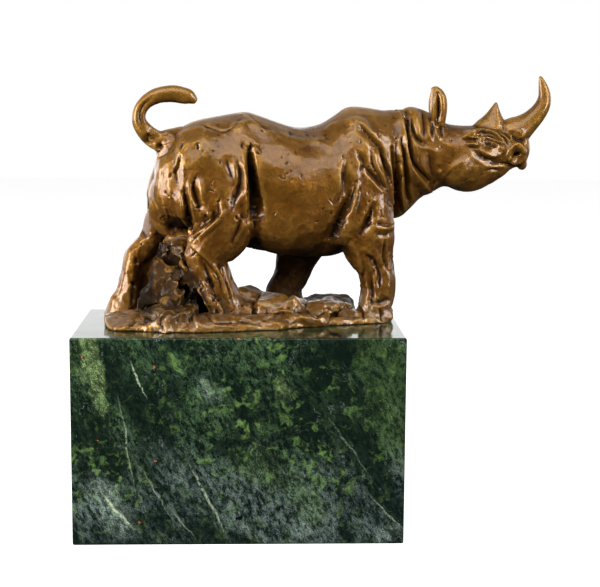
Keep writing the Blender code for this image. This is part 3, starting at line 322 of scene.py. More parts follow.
# A stroke of the modelling tool over one side of the animal: its path as (x, z) in the side view, how wide it
# is, or how wide at its start and its end, how deep it goes (above zero it raises a ridge), whether the far
# side has it as well, and which of its sides is steep (above zero the right of the path, below zero the left)
Stroke = namedtuple("Stroke", "path widths depth mirrored lean", defaults=(0.0,))
strokes = [
    # flank, thigh and buttock
    ([(0.7, 99), (0.4, 92), (0.9, 82), (1.8, 73.5), (2.4, 66), (2.8, 60.5)], (1.4, 2.9), -9.0, True, 0.9),
    ([(-3.2, 90), (-1.6, 86), (-1.7, 74), (-1.6, 62)], 0.9, 1.0, True, -0.5),
    ([(-4.9, 89.5), (-3.9, 84), (-4.6, 77.4), (-7, 72), (-8.6, 67)], (1.5, 1.9), -2.6, True, -0.8),
    ([(-12, 93.5), (-10.6, 88), (-8.8, 82.5)], (1.8, 1.4), -1.3, False, -0.4),
    ([(-8.5, 92), (-7.2, 86), (-6.4, 80)], 1.2, 0.7, False),
    ([(-37.2, 94.5), (-38.2, 89), (-39.5, 85.6), (-38.8, 80.5)], 0.8, -1.8, True),
    ([(-41, 85.6), (-42.4, 82.6)], 0.6, -1.0, False),
    ([(-29.4, 82.5), (-30.6, 77.8), (-29.2, 71.5), (-26.8, 65)], (1.4, 1.6), -3.0, True, 0.8),
    ([(-27, 83), (-25.6, 76.5), (-26, 70)], 1.9, 1.5, False),
    ([(-31.8, 80), (-32.4, 75), (-30.6, 68.5)], 0.6, 0.6, False),
    ([(-35.3, 75.5), (-34.6, 67.4), (-33.4, 61), (-30.4, 53)], (1.5, 2.0), -4.0, True, 0.8),
    ([(-32, 72), (-31, 65), (-28.6, 58)], 1.3, 0.9, False),
    ([(-36.8, 75), (-36.2, 67), (-34.8, 60)], 0.6, 0.8, False),
    ([(-35.2, 91), (-35.2, 80), (-35.8, 75)], 0.8, 0.5, False),
    ([(-46.3, 95), (-47.2, 83), (-48.3, 69)], 1.4, 0.6, True),
    ([(-42.3, 93), (-42.6, 80), (-41.5, 68)], 2.0, 0.6, False),
    ([(-50, 71), (-48, 65), (-46, 60)], 1.2, 0.5, False),
    ([(-46.6, 73), (-44.5, 66), (-43, 61)], 1.1, 0.5, False),
    ([(-41.8, 68), (-39, 62), (-34.5, 56.5)], 0.9, 0.7, False),
    ([(-44, 66), (-41, 59)], 0.7, -0.7, False),
    ([(-19, 66), (-21, 61.5), (-25.5, 58)], (3.2, 2.6), -3.2, False, 0.3),
    ([(-22.6, 65), (-21.8, 60.5), (-23.8, 57.4)], (1.3, 1.5), 2.2, False),
    ([(-15.6, 69.5), (-15.4, 63.6), (-19.9, 58.4), (-26.8, 53), (-31, 50)], (1.2, 1.6), 1.8, True, 0.6),
    ([(-35, 102), (-36.2, 99)], (0.8, 0.6), -1.3, False),
    ([(-27.4, 101.4), (-27.2, 98.4)], (0.8, 0.6), -1.3, False),
    ([(-45.6, 101), (-46.8, 98)], (1.3, 1.0), -2.4, True),
    ([(-41, 103), (-35, 106.6), (-26.7, 109.4), (-20, 112)], 1.8, 0.7, True),
    ([(-26, 111), (-20.3, 110.6), (-13.3, 108.2), (-9.6, 109), (-3, 114)], 1.0, -0.8, True, -0.4),
    ([(0.5, 117), (4.5, 112.7), (9.4, 108.6), (15, 107)], 2.2, 1.4, True, -0.4),
    ([(12, 107.5), (19.4, 106.8), (29, 103.3), (39, 102.8), (50, 98)], 2.6, 0.7, True),
    ([(-3.4, 98), (-2.6, 89), (-2, 78), (-1.6, 68)], (2.6, 3.0), 1.8, False, -0.8),
    # shoulder and foreleg
    ([(52.6, 92), (51.2, 84), (50.6, 74)], 2.4, 1.4, False, -0.75),
    ([(74.4, 99), (76.2, 90), (78.6, 81)], 2.0, 1.2, False, -0.7),
    ([(64, 112.5), (69, 107), (74, 101.5), (78, 97)], (1.9, 2.2), -1.8, True, -0.5),
    ([(76.8, 97.5), (78.6, 92), (80.8, 86.5), (82.2, 82)], 1.1, -2.6, True, -0.7),
    ([(75.6, 97), (77, 92), (79, 87.5)], 0.5, -0.9, False),
    ([(71.4, 97), (73, 89), (76.6, 83), (80, 76)], (1.3, 1.2), 1.6, True, 0.5),
    ([(66.5, 88.5), (71.5, 84), (77, 77.5)], 1.3, -1.9, True, -0.4),
    ([(69.5, 82), (74, 77), (77.5, 74)], 1.8, 1.0, False),
    ([(62.4, 96), (65.6, 91), (64, 85.4)], 1.5, -1.2, False, 0.3),
    ([(52, 86), (55, 80), (53.5, 72)], (2.4, 2.2), -1.4, False, 0.6),
    ([(61.5, 79), (60.6, 71.6), (58.6, 64), (56, 61)], (1.3, 1.2), 1.2, True, 0.7),
    ([(57.5, 72), (54, 61.5), (50.5, 52), (47, 44)], (1.8, 4.4), -5.4, True, -0.4),
    ([(71, 67), (69, 61), (66.4, 55), (63, 49)], (1.7, 2.6), -3.4, True, 0.2),
    ([(86, 57.5), (82, 54.5), (75, 54)], 1.5, 0.9, False),
    ([(84, 52), (79, 50.4), (74, 50.8)], 1.4, -0.8, False),
    # neck
    ([(84, 99), (85.2, 88), (86.6, 79), (87.4, 70), (88.5, 60)], (1.2, 1.9), -5.0, True, 0.3),
    ([(87.2, 103), (88.6, 91.5), (89.4, 81), (90.8, 71.5), (94, 63.5)], (1.3, 1.7), 2.6, True, 0.5),
    ([(89.8, 103), (91.6, 92), (93.6, 82), (95, 73), (98, 67)], (1.0, 1.4), -3.0, True),
    ([(92, 121.5), (91.9, 112.8), (93, 100), (94.3, 91.5), (98.2, 85.5), (105.5, 78.6), (114, 72)],
     (1.9, 2.4), 3.2, True, -0.55),
    ([(95.4, 119), (94.6, 109), (95, 100), (97.4, 92), (102, 86.6), (109, 80)], (1.0, 1.2), -3.0, True, 0.3),
    ([(97.4, 117.5), (97.4, 110), (100.4, 104.4), (105, 101.4)], 1.3, -2.2, True, -0.4),
    ([(100.6, 121), (101.4, 113), (101.6, 107)], (1.6, 1.4), 1.4, True),
    ([(105.4, 119), (105.6, 112), (105, 106)], 1.2, -1.6, True),
    ([(108.5, 113), (108, 107), (110, 102.4)], 1.0, 1.1, True),
    ([(110.4, 111.5), (110.4, 106)], 0.8, -1.2, True),
    ([(112.4, 112), (112.8, 107), (114.6, 103)], 0.9, 1.1, True),
    ([(115.4, 111), (116.4, 105.5)], 0.8, -1.2, True),
    ([(100, 99), (107, 98.5), (114, 96.5)], 1.3, 0.8, True),
    # head
    ([(108, 96), (109.6, 88), (112, 80)], 2.4, -1.4, True),
    ([(113.4, 84), (116, 86.6)], 2.2, 1.3, True),
    ([(116, 81.5), (121, 86.7), (126.7, 90.3), (133, 94)], 1.8, 1.0, True),
    ([(129.6, 104.6), (133, 107), (139, 108.4), (146, 107.4), (151.5, 104.2)], (1.1, 1.2), 1.7, True, 0.5),
    ([(130.6, 103.6), (133.4, 103.2), (136.6, 103.6)], 1.0, -3.2, True),
    ([(132.6, 105.6), (136, 105.3), (139.4, 105.8)], 0.7, -1.0, True),
    ([(130, 100.6), (133.3, 101.4), (137.4, 100.6)], 0.8, 0.9, True),
    ([(131, 99.4), (134, 99.2), (137, 98.6)], 0.6, -0.8, True),
    ([(141, 101.6), (145, 101.4), (149, 99)], (2.6, 2.2), -2.0, True, -0.4),
    ([(139.5, 105.8), (145, 105.2), (151, 102.2)], 0.6, -1.2, True),
    ([(141, 103.9), (146, 103.3), (152, 100.2)], 0.6, -1.2, True),
    ([(150, 106.5), (153.6, 103.6), (155, 100.6)], 0.6, -1.1, True),
    ([(152.6, 107.4), (156, 104.6), (157.6, 102)], 0.6, -0.9, True),
    ([(138.8, 98.4), (141.4, 95.6), (146, 94), (150, 95)], 1.5, 1.5, True, 0.5),
    ([(134.5, 97), (139, 93.6), (146, 91.2), (152, 91.4)], 1.4, -1.3, True),
    ([(143, 89.6), (150, 89.8), (156, 89), (162.5, 86.4)], 1.0, -1.3, True),
    ([(142.7, 85.6), (146.3, 86.3), (150.5, 86)], 0.8, -0.7, True),
    ([(153.4, 91.8), (156, 97.4), (160, 100.6), (164, 98), (165.6, 91.4)], 1.3, 1.7, True),
    ([(160, 95.6), (161, 93.4)], 1.9, -7.0, True),
    ([(160, 109), (163.5, 107)], 1.6, 1.2, True),
    ([(157, 106), (160.5, 103.4), (165, 102.6)], 1.0, -1.4, True),
    ([(113.9, 113), (113.8, 118), (113.5, 125), (113, 129.5)], (1.3, 1.1), -3.0, True),
    ([(111.8, 116), (111.6, 124), (112.2, 130)], 0.7, 1.0, True),
    ([(115.2, 112.4), (115, 117)], 0.8, 1.2, True),
    # tail
    ([(-55.4, 110), (-56.8, 115), (-55.4, 121), (-50.5, 126)], 1.1, -1.3, True),
    # legs
    ([(-33, 47), (-35, 43), (-32, 38)], 2.2, 1.3, False),
    ([(-18.5, 34), (-14.5, 26), (-11, 17)], 1.6, 1.0, False, -0.4),
    ([(-24, 34), (-21, 25), (-17, 15)], (1.2, 1.4), -1.2, False),
    ([(-28, 27), (-25.6, 20), (-21, 10)], 1.0, -1.2, False),
    ([(67, 39.5), (73, 35), (76.4, 27), (76.4, 19)], 1.6, -2.0, False, -0.4),
    ([(80, 44), (81.5, 34), (82, 24), (80.6, 12)], 1.8, 0.9, False),
    ([(71, 27), (72.5, 18), (71.5, 8)], 1.2, -1.3, False),
    ([(70, 13), (75, 11.4), (82, 13)], 1.2, -1.2, True),
    ([(-61, 38), (-60.4, 27), (-62.6, 17.7), (-63.4, 9)], 2.0, 1.0, False, -0.7),
    ([(-4, 62), (-6, 54), (-9.5, 46.5)], (1.2, 1.0), -1.4, False, -0.5),
    ([(-13.6, 65.4), (-22, 55.4), (-32, 45.3)], 1.0, 1.0, False, 0.6),
    ([(-30, 44), (-23, 38.7), (-15.5, 29), (-12, 17)], 1.3, 0.9, False, 0.7),
    ([(-27, 40), (-22, 31), (-18.5, 20)], 1.2, -0.9, False, -0.5),
    ([(-14, 34), (-11.6, 24), (-8.5, 12)], 0.7, -0.8, False, 0.5),
    ([(-56.5, 40), (-56, 29), (-58.6, 16), (-60, 8)], 1.2, -0.7, False, 0.6),
    ([(-64.6, 33), (-65, 24), (-68, 12)], 1.0, 0.4, False, 0.6),
    ([(-61.5, 22), (-59.5, 19.4)], 0.8, -1.6, False),
    ([(68, 56), (74, 56.6), (80, 55), (86, 55.6)], 0.9, -0.8, False, 0.6),
    ([(63.5, 40), (66.5, 31), (67, 20), (65.4, 10)], 1.2, 0.8, False, -0.6),
    ([(74, 31), (73.4, 22), (74.6, 12)], 1.3, 0.6, False, 0.6),
    ([(78.5, 47), (78, 38), (80.6, 30)], 0.9, -1.2, False, 0.5),
    ([(66, 9), (67, 5), (66, 2)], 0.7, -1.2, False),
    ([(76.6, 7.5), (77.4, 4), (77, 1.4)], 0.7, -1.2, False),
    # ground
    ([(-66, 2.4), (-62, 4.4), (-56, 5), (-50.8, 8.4)], (1.0, 1.3), -2.4, False, 0.3),
    ([(-48.6, 1.5), (-50, 6), (-46, 10)], 0.9, -1.2, False),
    ([(-31.5, 11), (-31, 6), (-29, 2)], (1.0, 1.2), 1.4, False, 0.4),
    ([(-24, 8), (-20, 5), (-12, 4.5), (0, 6)], 1.0, -1.2, False),
    ([(2, 4), (12, 6.4), (20, 8), (27, 6.6), (34, 3)], 1.2, 1.3, False, 0.3),
    ([(33, 9), (38, 5.6), (46, 8)], 1.2, -1.4, False),
]

# how a stroke marks the clay, as shares of its width and depth
tool = {
    "steepen": 0.65,  # how much narrower the steep side of a leaning stroke is
    "flatten": 0.9,  # and how much wider its other side
    "lipPlace": 2.1,
    "lipHeight": 0.14,
    "slitPlace": 1.15,
    "slitWidth": 0.5,
    "slitDepth": 0.9,
}

# Short slits and small holes left by the tool's corner, scattered over the side view: area (x and z from,
# x and z to), how many, widths, depth
nicks = [
    ((-45, 60, 90, 112), 26, (0.3, 0.5), -0.7),
    ((0, 45, 75, 100), 16, (0.3, 0.5), -0.6),
    ((-45, 50, 0, 100), 22, (0.3, 0.55), -0.8),
    ((60, 60, 90, 112), 16, (0.3, 0.5), -0.7),
    ((96, 76, 150, 110), 10, (0.25, 0.4), -0.5),
    ((-66, 8, 88, 44), 30, (0.3, 0.5), -0.7),
]


def unitRows(rows):
    return rows / np.linalg.norm(rows, axis=1)[:, None]


# How far the values are on the way from low to high, from 0 to 1.
def share(values, low, high):
    return np.clip((values - low) / (high - low), 0, 1)


# Rows of numbers read off a smooth curve (Catmull-Rom) through the given rows.
def smoothStations(stations, steps):
    rows = np.array(stations, float)
    ends = np.vstack([2 * rows[0] - rows[1], rows, 2 * rows[-1] - rows[-2]])
    made = []
    for before, start, end, after in zip(ends, ends[1:], ends[2:], ends[3:]):
        for t in np.arange(steps) / steps:
            made.append(
                0.5 * (
                    2 * start
                    + (end - before) * t
                    + (2 * before - 5 * start + 4 * end - after) * t ** 2
                    + (3 * start - before - 3 * end + after) * t ** 3
                )
            )
    made.append(rows[-1])
    return np.array(made)


# A new object in the scene with the given mesh.
def linked(name, mesh):
    made = bpy.data.objects.new(name, mesh)
    bpy.context.scene.collection.objects.link(made)
    return made


# A new object in the scene from a shape that was built up by hand.
def objectFrom(name, bm):
    mesh = bpy.data.meshes.new(name)
    bm.to_mesh(mesh)
    bm.free()
    return linked(name, mesh)


# The object's shape, to be changed inside a with block.
@contextmanager
def shapeOf(thing):
    bm = bmesh.new()
    bm.from_mesh(thing.data)
    yield bm
    bm.to_mesh(thing.data)
    bm.free()


def discard(thing):
    mesh = thing.data
    bpy.data.objects.remove(thing)
    bpy.data.meshes.remove(mesh)


# A new object in the scene from points and faces.
def meshObject(name, verts, faces):
    mesh = bpy.data.meshes.new(name)
    mesh.from_pydata([tuple(v) for v in verts], [], faces)
    mesh.update()
    return linked(name, mesh)


# The same object with its faces turned outward.
def facedOutward(thing):
    with shapeOf(thing) as bm:
        bmesh.ops.recalc_face_normals(bm, faces=bm.faces)
    return thing


# A closed skin round a line of oval sections: each is x, y, z, half its depth and half its width.
# The width always runs along Y, and the depth square to both Y and the line, or straight up where the
# sections are upright. Both ends are rounded off, by cap times the smaller half size.
def loft(name, stations, corners=20, steps=4, upright=False, cap=0.6):
    rows = smoothStations(stations, steps)
    middles, depths, widths = rows[:, :3], np.maximum(rows[:, 3], 0.3), np.maximum(rows[:, 4], 0.3)
    side = np.array((0.0, 1.0, 0.0))
    along = unitRows(np.gradient(middles, axis=0))
    across = unitRows(np.tile((0.0, 0.0, 1.0), (len(rows), 1)) if upright else np.cross(along, side))
    capSteps = 4

    def capRing(end, way, k):
        turn = k / (capSteps + 0.5) * math.pi / 2
        reach = way * cap * min(depths[end], widths[end]) * math.sin(turn)
        shrink = math.cos(turn)
        return middles[end] + along[end] * reach, across[end], depths[end] * shrink, widths[end] * shrink

    sections = [capRing(0, -1, k) for k in range(capSteps, 0, -1)]
    sections += zip(middles, across, depths, widths)
    sections += [capRing(-1, 1, k) for k in range(1, capSteps + 1)]
    angles = np.arange(corners) / corners * 2 * math.pi
    verts = [
        middle + out * depth * math.cos(a) + side * width * math.sin(a)
        for middle, out, depth, width in sections
        for a in angles
    ]
    faces = [
        (r + i, r + (i + 1) % corners, r + corners + (i + 1) % corners, r + corners + i)
        for r in range(0, (len(sections) - 1) * corners, corners)
        for i in range(corners)
    ]
    faces.append(tuple(reversed(range(corners))))
    faces.append(tuple((len(sections) - 1) * corners + i for i in range(corners)))
    return facedOutward(meshObject(name, verts, faces))


# A loft along X whose stations give the top's height, the bottom's height and half the width.
def bodyLoft(name, stations):
    rows = [(x, 0, (top + low) / 2, (top - low) / 2, half) for x, top, low, half in stations]
    return loft(name, rows, corners=28, upright=True)


# A rounded lump: a ball stretched to its half sizes and tilted in the side view.
def mass(name, middle, halfSizes, tilt=0.0):
    turn = Matrix.Rotation(math.radians(tilt), 4, "Y")
    place = Matrix.Translation(middle) @ turn @ Matrix.Diagonal((*halfSizes, 1.0))
    bm = bmesh.new()
    bmesh.ops.create_uvsphere(bm, u_segments=24, v_segments=14, radius=1.0, matrix=place)
    return objectFrom(name, bm)


# An angular clod: the hull of a few points scattered over a ball, stretched and turned.
def rock(name, middle, halfSizes, turn, seed):
    spots = unitRows(np.random.default_rng(seed).normal(size=(20, 3)))
    spots = np.sign(spots) * abs(spots) ** 0.7
    turned = Matrix.Rotation(math.radians(turn), 4, "Z")
    place = Matrix.Translation(middle) @ turned @ Matrix.Diagonal((*halfSizes, 1.0))
    bm = bmesh.new()
    for spot in spots:
        bm.verts.new(place @ Vector(spot))
    hull = bmesh.ops.convex_hull(bm, input=bm.verts)
    spare = hull["geom_interior"] + hull["geom_unused"]
    loose = {item for item in spare if isinstance(item, bmesh.types.BMVert)}
    bmesh.ops.delete(bm, geom=list(loose), context="VERTS")
    bmesh.ops.recalc_face_normals(bm, faces=bm.faces)
    return objectFrom(name, bm)


# A thick, crumpled leaf of clay between four corners, its middle pushed out by the bulge.
def sheet(name, corners, bulge, seed):
    count = 11
    parts = np.linspace(0, 1, count)
    topLeft, topRight, lowRight, lowLeft = (np.array(corner, float) for corner in corners)
    out = np.cross(topRight - topLeft, lowLeft - topLeft)
    out *= -np.sign(out[1]) / np.linalg.norm(out)
    turns = np.random.default_rng(seed).uniform(0, 2 * math.pi, (4, 3))
    waveHeight, half = casting["sheetWave"], casting["sheetThickness"] / 2
    verts = []
    for face in (1, -1):
        for v in parts:
            for u in parts:
                spot = (topLeft * (1 - u) + topRight * u) * (1 - v) + (lowLeft * (1 - u) + lowRight * u) * v
                dome = 16 * u * (1 - u) * v * (1 - v)
                wave = np.sin(turns[0] + 5.5 * u) + np.sin(turns[1] + 6.5 * v)
                wave += 0.6 * np.sin(turns[2] + 11 * (u - v))
                crumple = math.sin(turns[3][0] + 7 * u) * math.sin(turns[3][1] + 6 * v)
                height = face * half + bulge * dome + 2.2 * waveHeight * crumple
                verts.append(spot + wave * waveHeight + out * height)
    layer = count * count
    faces = []
    for r in range(count - 1):
        for c in range(count - 1):
            quad = (r * count + c, r * count + c + 1, (r + 1) * count + c + 1, (r + 1) * count + c)
            faces += [quad, tuple(layer + i for i in reversed(quad))]
    rim = list(range(count)) + [r * count + count - 1 for r in range(1, count)]
    rim += [layer - 1 - c for c in range(1, count)] + [r * count for r in range(count - 2, 0, -1)]
    faces += [(a, layer + a, layer + b, b) for a, b in zip(rim, rim[1:] + rim[:1])]
    return facedOutward(meshObject(name, verts, faces))


# The thin ground under the feet: a smooth closed outline with a flat top, going down to below zero.
def groundSlab(name):
    ring = smoothStations(groundOutline + groundOutline[:1], 3)[:-1]
    count = len(ring)
    low, high = -4.0, casting["groundHeight"]
    verts = [(x, y, low) for x, y in ring] + [(x * 0.985, y * 0.96, high) for x, y in ring]
    faces = [(i, (i + 1) % count, count + (i + 1) % count, count + i) for i in range(count)]
    faces += [tuple(reversed(range(count))), tuple(range(count, 2 * count))]
    return meshObject(name, verts, faces)


# The object's mesh as its modifiers leave it, in a new object; the old one is removed.
def evaluatedCopy(thing, name):
    graph = bpy.context.evaluated_depsgraph_get()
    mesh = bpy.data.meshes.new_from_object(thing.evaluated_get(graph))
    mesh.transform(thing.matrix_world)
    discard(thing)
    return linked(name, mesh)


# The given closed skins run together into one, as clay is, and softened where they meet.
def fused(name, things, relax):
    bm = bmesh.new()
    for thing in things:
        bm.from_mesh(thing.data)
        discard(thing)
    whole = objectFrom(name, bm)
    remesh = whole.modifiers.new("run together", "REMESH")
    remesh.mode = "VOXEL"
    remesh.voxel_size = casting["cell"]
    soften = whole.modifiers.new("soften", "SMOOTH")
    soften.factor = 0.5
    # the finer the cells, the more rounds it takes to soften as much
    soften.iterations = round(relax * (1.2 / casting["cell"]) ** 2)
    return evaluatedCopy(whole, name)


# Removes every loose scrap of skin but the largest, such as a sealed hollow inside.
def keepLargest(thing):
    with shapeOf(thing) as bm:
        waiting = set(bm.verts)
        islands = []
        while waiting:
            island, edge = set(), [waiting.pop()]
            while edge:
                vert = edge.pop()
                island.add(vert)
                for link in vert.link_edges:
                    other = link.other_vert(vert)
                    if other in waiting:
                        waiting.discard(other)
                        edge.append(other)
            islands.append(island)
        largest = max(islands, key=len)
        bmesh.ops.delete(bm, geom=[v for v in bm.verts if v not in largest], context="VERTS")


def rowsOf(items, label):
    rows = np.empty(len(items) * 3, np.float32)
    items.foreach_get(label, rows)
    return rows.reshape(-1, 3).astype(float)


# The mesh's points as rows of numbers.
def pointsOf(mesh):
    return rowsOf(mesh.vertices, "co")


# The outward direction at each of the mesh's points.
def normalsOf(mesh):
    return rowsOf(mesh.vertex_normals, "vector")


# The mesh's points, the outward direction at each, and the skin as a tree that rays can be cast at.
def skinOf(mesh):
    points = pointsOf(mesh)
    tree = BVHTree.FromPolygons([Vector(p) for p in points], [tuple(p.vertices) for p in mesh.polygons])
    return points, normalsOf(mesh), tree


# Moves the mesh's points to the given rows.
def setPoints(mesh, points):
    mesh.vertices.foreach_set("co", points.astype(np.float32).ravel())
    mesh.update()


# The path of a stroke, given in the side view, laid on the skin of that side.
def laidOnSkin(tree, path, side):
    spots = []
    for x, z in smoothStations(path, 3):
        spot = tree.ray_cast(Vector((x, side * outside, z)), Vector((0, -side, 0)))[0]
        if spot is None:
            spot = tree.find_nearest(Vector((x, side * 12.0, z)))[0]
        spots.append(spot)
    return np.array(spots)


# Each point's distance to the path, how far along the path its nearest place is, from 0 to 1, and whether it
# lies to the left of the path in the side view.
def gapToPath(points, path):
    lengths = np.linalg.norm(np.diff(path, axis=0), axis=1)
    starts = np.concatenate([[0.0], np.cumsum(lengths)])
    gap = np.full(len(points), np.inf)
    along = np.zeros(len(points))
    toLeft = np.zeros(len(points), bool)
    for a, b, start, length in zip(path, path[1:], starts, lengths):
        t = np.clip((points - a) @ (b - a) / max(length ** 2, 1e-9), 0, 1)
        offset = points - a - t[:, None] * (b - a)
        found = np.linalg.norm(offset, axis=1)
        closer = found < gap
        gap = np.where(closer, found, gap)
        along = np.where(closer, (start + t * length) / starts[-1], along)
        toLeft = np.where(closer, offset[:, 2] * (b - a)[0] > offset[:, 0] * (b - a)[2], toLeft)
    return gap, along, toLeft


# Cuts and raises the strokes on the skin, each fading out towards its two ends. A groove throws up a low lip
# beside it, as a tool drawn through clay does. A ridge that leans has a slit at the foot of its steep side.
def carve(thing, strokes):
    points, normals, tree = skinOf(thing.data)
    moved = points.copy()
    for row in strokes:
        stroke = Stroke(*row)
        first, last = np.broadcast_to(stroke.widths, 2)
        lean = abs(stroke.lean)
        for side in (nearSide, farSide) if stroke.mirrored else (nearSide,):
            path = laidOnSkin(tree, stroke.path, side)
            reach = 4 * max(first, last)
            close = np.all((points > path.min(0) - reach) & (points < path.max(0) + reach), axis=1)
            gap, along, toLeft = gapToPath(points[close], path)
            fade = np.sin(math.pi * np.clip(along, 0.03, 0.97)) ** 0.5
            width = first + (last - first) * along
            steep = toLeft == (stroke.lean < 0)
            spread = np.where(steep, 1 - tool["steepen"] * lean, 1 + tool["flatten"] * lean)
            amount = np.exp(-((gap / (width * spread)) ** 1.4))
            slope = (1 - lean) * amount + lean * np.clip(1 - gap / (2.4 * width), 0, 1)
            amount = np.where(steep, amount, slope)
            if stroke.depth < 0:
                lip = np.exp(-(((gap - (tool["lipPlace"] - 0.8 * lean) * width) / width) ** 2))
                amount -= tool["lipHeight"] * lip * np.where(steep, 1, 1 - lean)
            elif lean > 0:
                slit = np.exp(-(((gap - tool["slitPlace"] * width) / (tool["slitWidth"] * width)) ** 2))
                amount -= tool["slitDepth"] * lean * steep * slit
            moved[close] += normals[close] * (stroke.depth * amount * fade)[:, None]
    setPoints(thing.data, moved)


# Presses the skin flat in places scattered over both sides, so that the clay shows facets.
def patted(thing, rows, seed):
    points, normals, tree = skinOf(thing.data)
    scatter = np.random.default_rng(seed)
    spots = [
        (x, z, side, step, radius)
        for xFrom, xTo, zFrom, zTo, step, radius in rows
        for x in np.arange(xFrom, xTo, step)
        for z in np.arange(zFrom, zTo, step)
        for side in (nearSide, farSide)
    ]
    for x, z, side, step, radius in spots:
        shift = scatter.uniform(-0.5, 0.5, 2) * step
        size = radius * scatter.uniform(0.75, 1.25)
        start = Vector((x + shift[0], side * outside, z + shift[1]))
        spot, out = tree.ray_cast(start, Vector((0, -side, 0)))[:2]
        if spot is None or out.y * side < 0.45:
            continue
        near = np.flatnonzero((abs(points[:, 0] - spot[0]) < size) & (abs(points[:, 2] - spot[2]) < size))
        gap = np.linalg.norm(points[near] - spot, axis=1)
        kept = (gap < size) & (normals[near] @ np.array(out) > 0.3)
        near, gap = near[kept], gap[kept]
        facing = normals[near].mean(0)
        facing /= np.linalg.norm(facing)
        height = (points[near] - points[near].mean(0)) @ facing
        press = np.clip((1 - gap / size) / 0.3, 0, 1)
        points[near] -= facing * (casting["patStrength"] * height * press * press * (3 - 2 * press))[:, None]
    setPoints(thing.data, points)


# How much each point belongs to the clay between the hind legs.
def clayShare(points):
    x, y, z = points.T
    rows = np.array(legs["near hind"])[::-1]
    legEdge = np.interp(z, rows[:, 2], rows[:, 0] - rows[:, 3])
    sideways = share(legEdge + 1 - x, 0, 2.5) * share(x + 63, 0, 4) * share(7 - y, 0, 3)
    return sideways * share(50 - z, 0, 5) * share(z - 4, 0, 5)


# Folds the ground and the clay between the hind legs, as if torn by hand; the legs are left nearly smooth.
def crumpled(thing):
    points, normals = pointsOf(thing.data), normalsOf(thing.data)
    amount = share(19 - points[:, 2], 0, 6)
    for rows in legs.values():
        rows = np.array(rows)[::-1]
        levels = (np.interp(points[:, 2], rows[:, 2], rows[:, i]) for i in (0, 1, 3, 4))
        middleX, middleY, depth, width = levels
        reach = np.hypot((points[:, 0] - middleX) / (depth + 1), (points[:, 1] - middleY) / (width + 1))
        amount *= 0.3 + 0.7 * share(reach, 0.9, 1.3)
    amount = np.maximum(amount, 0.5 * clayShare(points))
    for index in np.flatnonzero(amount > 0.02):
        place = Vector(points[index])
        fold = 0.0
        for size, height in casting["crumples"]:
            fold += height * (0.35 - abs(spaceNoise.noise(place / size)))
        points[index] += normals[index] * (fold * amount[index])
    setPoints(thing.data, points)


# The points moved with the neck's bend: the middle line turns between the two places of neckBend.
def bentNeck(points):
    stride = 0.25
    steps = np.arange(-120.0, 260.0, stride)
    t = share(steps, *casting["neckBend"])
    turns = casting["headTurn"] * t * t * (3 - 2 * t)
    lineX = steps[0] + np.concatenate([[0.0], np.cumsum(np.cos(turns[:-1]) * stride)])
    lineY = np.concatenate([[0.0], np.cumsum(np.sin(turns[:-1]) * stride)])
    turn = np.interp(points[:, 0], steps, turns)
    return np.column_stack([
        np.interp(points[:, 0], steps, lineX) - points[:, 1] * np.sin(turn),
        np.interp(points[:, 0], steps, lineY) + points[:, 1] * np.cos(turn),
        points[:, 2],
    ])


# The closed skins of the animal's body, neck, head and legs, and of the ground under its feet.
def figureMasses():
    things = [bodyLoft("trunk", trunk), bodyLoft("neck and head", neckAndHead)]
    things += [loft(f"{name} leg", rows) for name, rows in legs.items()]
    for (x, y, z), halfSizes, tilt in massesOnBothSides:
        things += [mass("mass", (x, y * side, z), halfSizes, tilt) for side in (1, -1)]
    things += [mass("mass", *row) for row in massesOnOneSide]
    return things + [groundSlab("ground")]


# The closed skins of the ground's clods, and the mound of clay between the hind legs.
def groundMasses():
    things = [rock("rock", *row) for row in rocks]
    things += [sheet("sheet", *row) for row in sheets]
    return things + [mass("mound", *row) for row in mound]


# The tail, the two horns, the two ears and the toes.
def smallParts():
    things = [loft("tail", tail, 16), loft("front horn", frontHorn, 16), loft("rear horn", rearHorn, 16)]
    things.append(loft("near ear", ear, 14))
    things.append(loft("far ear", [(x + casting["farEarStep"], -y, z, a, b) for x, y, z, a, b in ear], 14))
    return things + [mass("toe", *row) for row in toes]


# Cuts the figure off flat at the height where it stands on the plinth.
def cutFlat(thing):
    with shapeOf(thing) as bm:
        everything = bm.verts[:] + bm.edges[:] + bm.faces[:]
        bmesh.ops.bisect_plane(bm, geom=everything, plane_co=(0, 0, 0), plane_no=(0, 0, -1), clear_outer=True)
        bmesh.ops.edgeloop_fill(bm, edges=[edge for edge in bm.edges if edge.is_boundary])
        bmesh.ops.triangulate(bm, faces=bm.faces[:])
        bmesh.ops.recalc_face_normals(bm, faces=bm.faces)


# The same skin with no more than the given count of triangles.
def thinned(thing, name, triangles):
    with shapeOf(thing) as bm:
        bmesh.ops.triangulate(bm, faces=bm.faces[:])
    thin = thing.modifiers.new("thin", "DECIMATE")
    thin.ratio = min(1.0, triangles / len(thing.data.polygons))
    return evaluatedCopy(thing, name)


# The nicks as strokes.
def scatteredNicks(seed):
    scatter = np.random.default_rng(seed)
    made = []
    for (xFrom, zFrom, xTo, zTo), count, widths, depth in nicks:
        for _ in range(count):
            x, z = scatter.uniform(xFrom, xTo), scatter.uniform(zFrom, zTo)
            lean, length = scatter.normal(1.4, 0.7), scatter.uniform(0.2, 2.2) * scatter.uniform(0.4, 1.2)
            curl = scatter.normal(0, 0.25) * length
            step = np.array((math.cos(lean), math.sin(lean))) * length
            middle = np.array((x, z)) + np.array((-step[1], step[0])) / length * curl
            wide = scatter.uniform(*widths)
            path = [(x - step[0], z - step[1]), tuple(middle), (x + step[0], z + step[1])]
            made.append((path, wide, depth * scatter.uniform(0.5, 1.3), bool(scatter.uniform() < 0.5)))
    return made


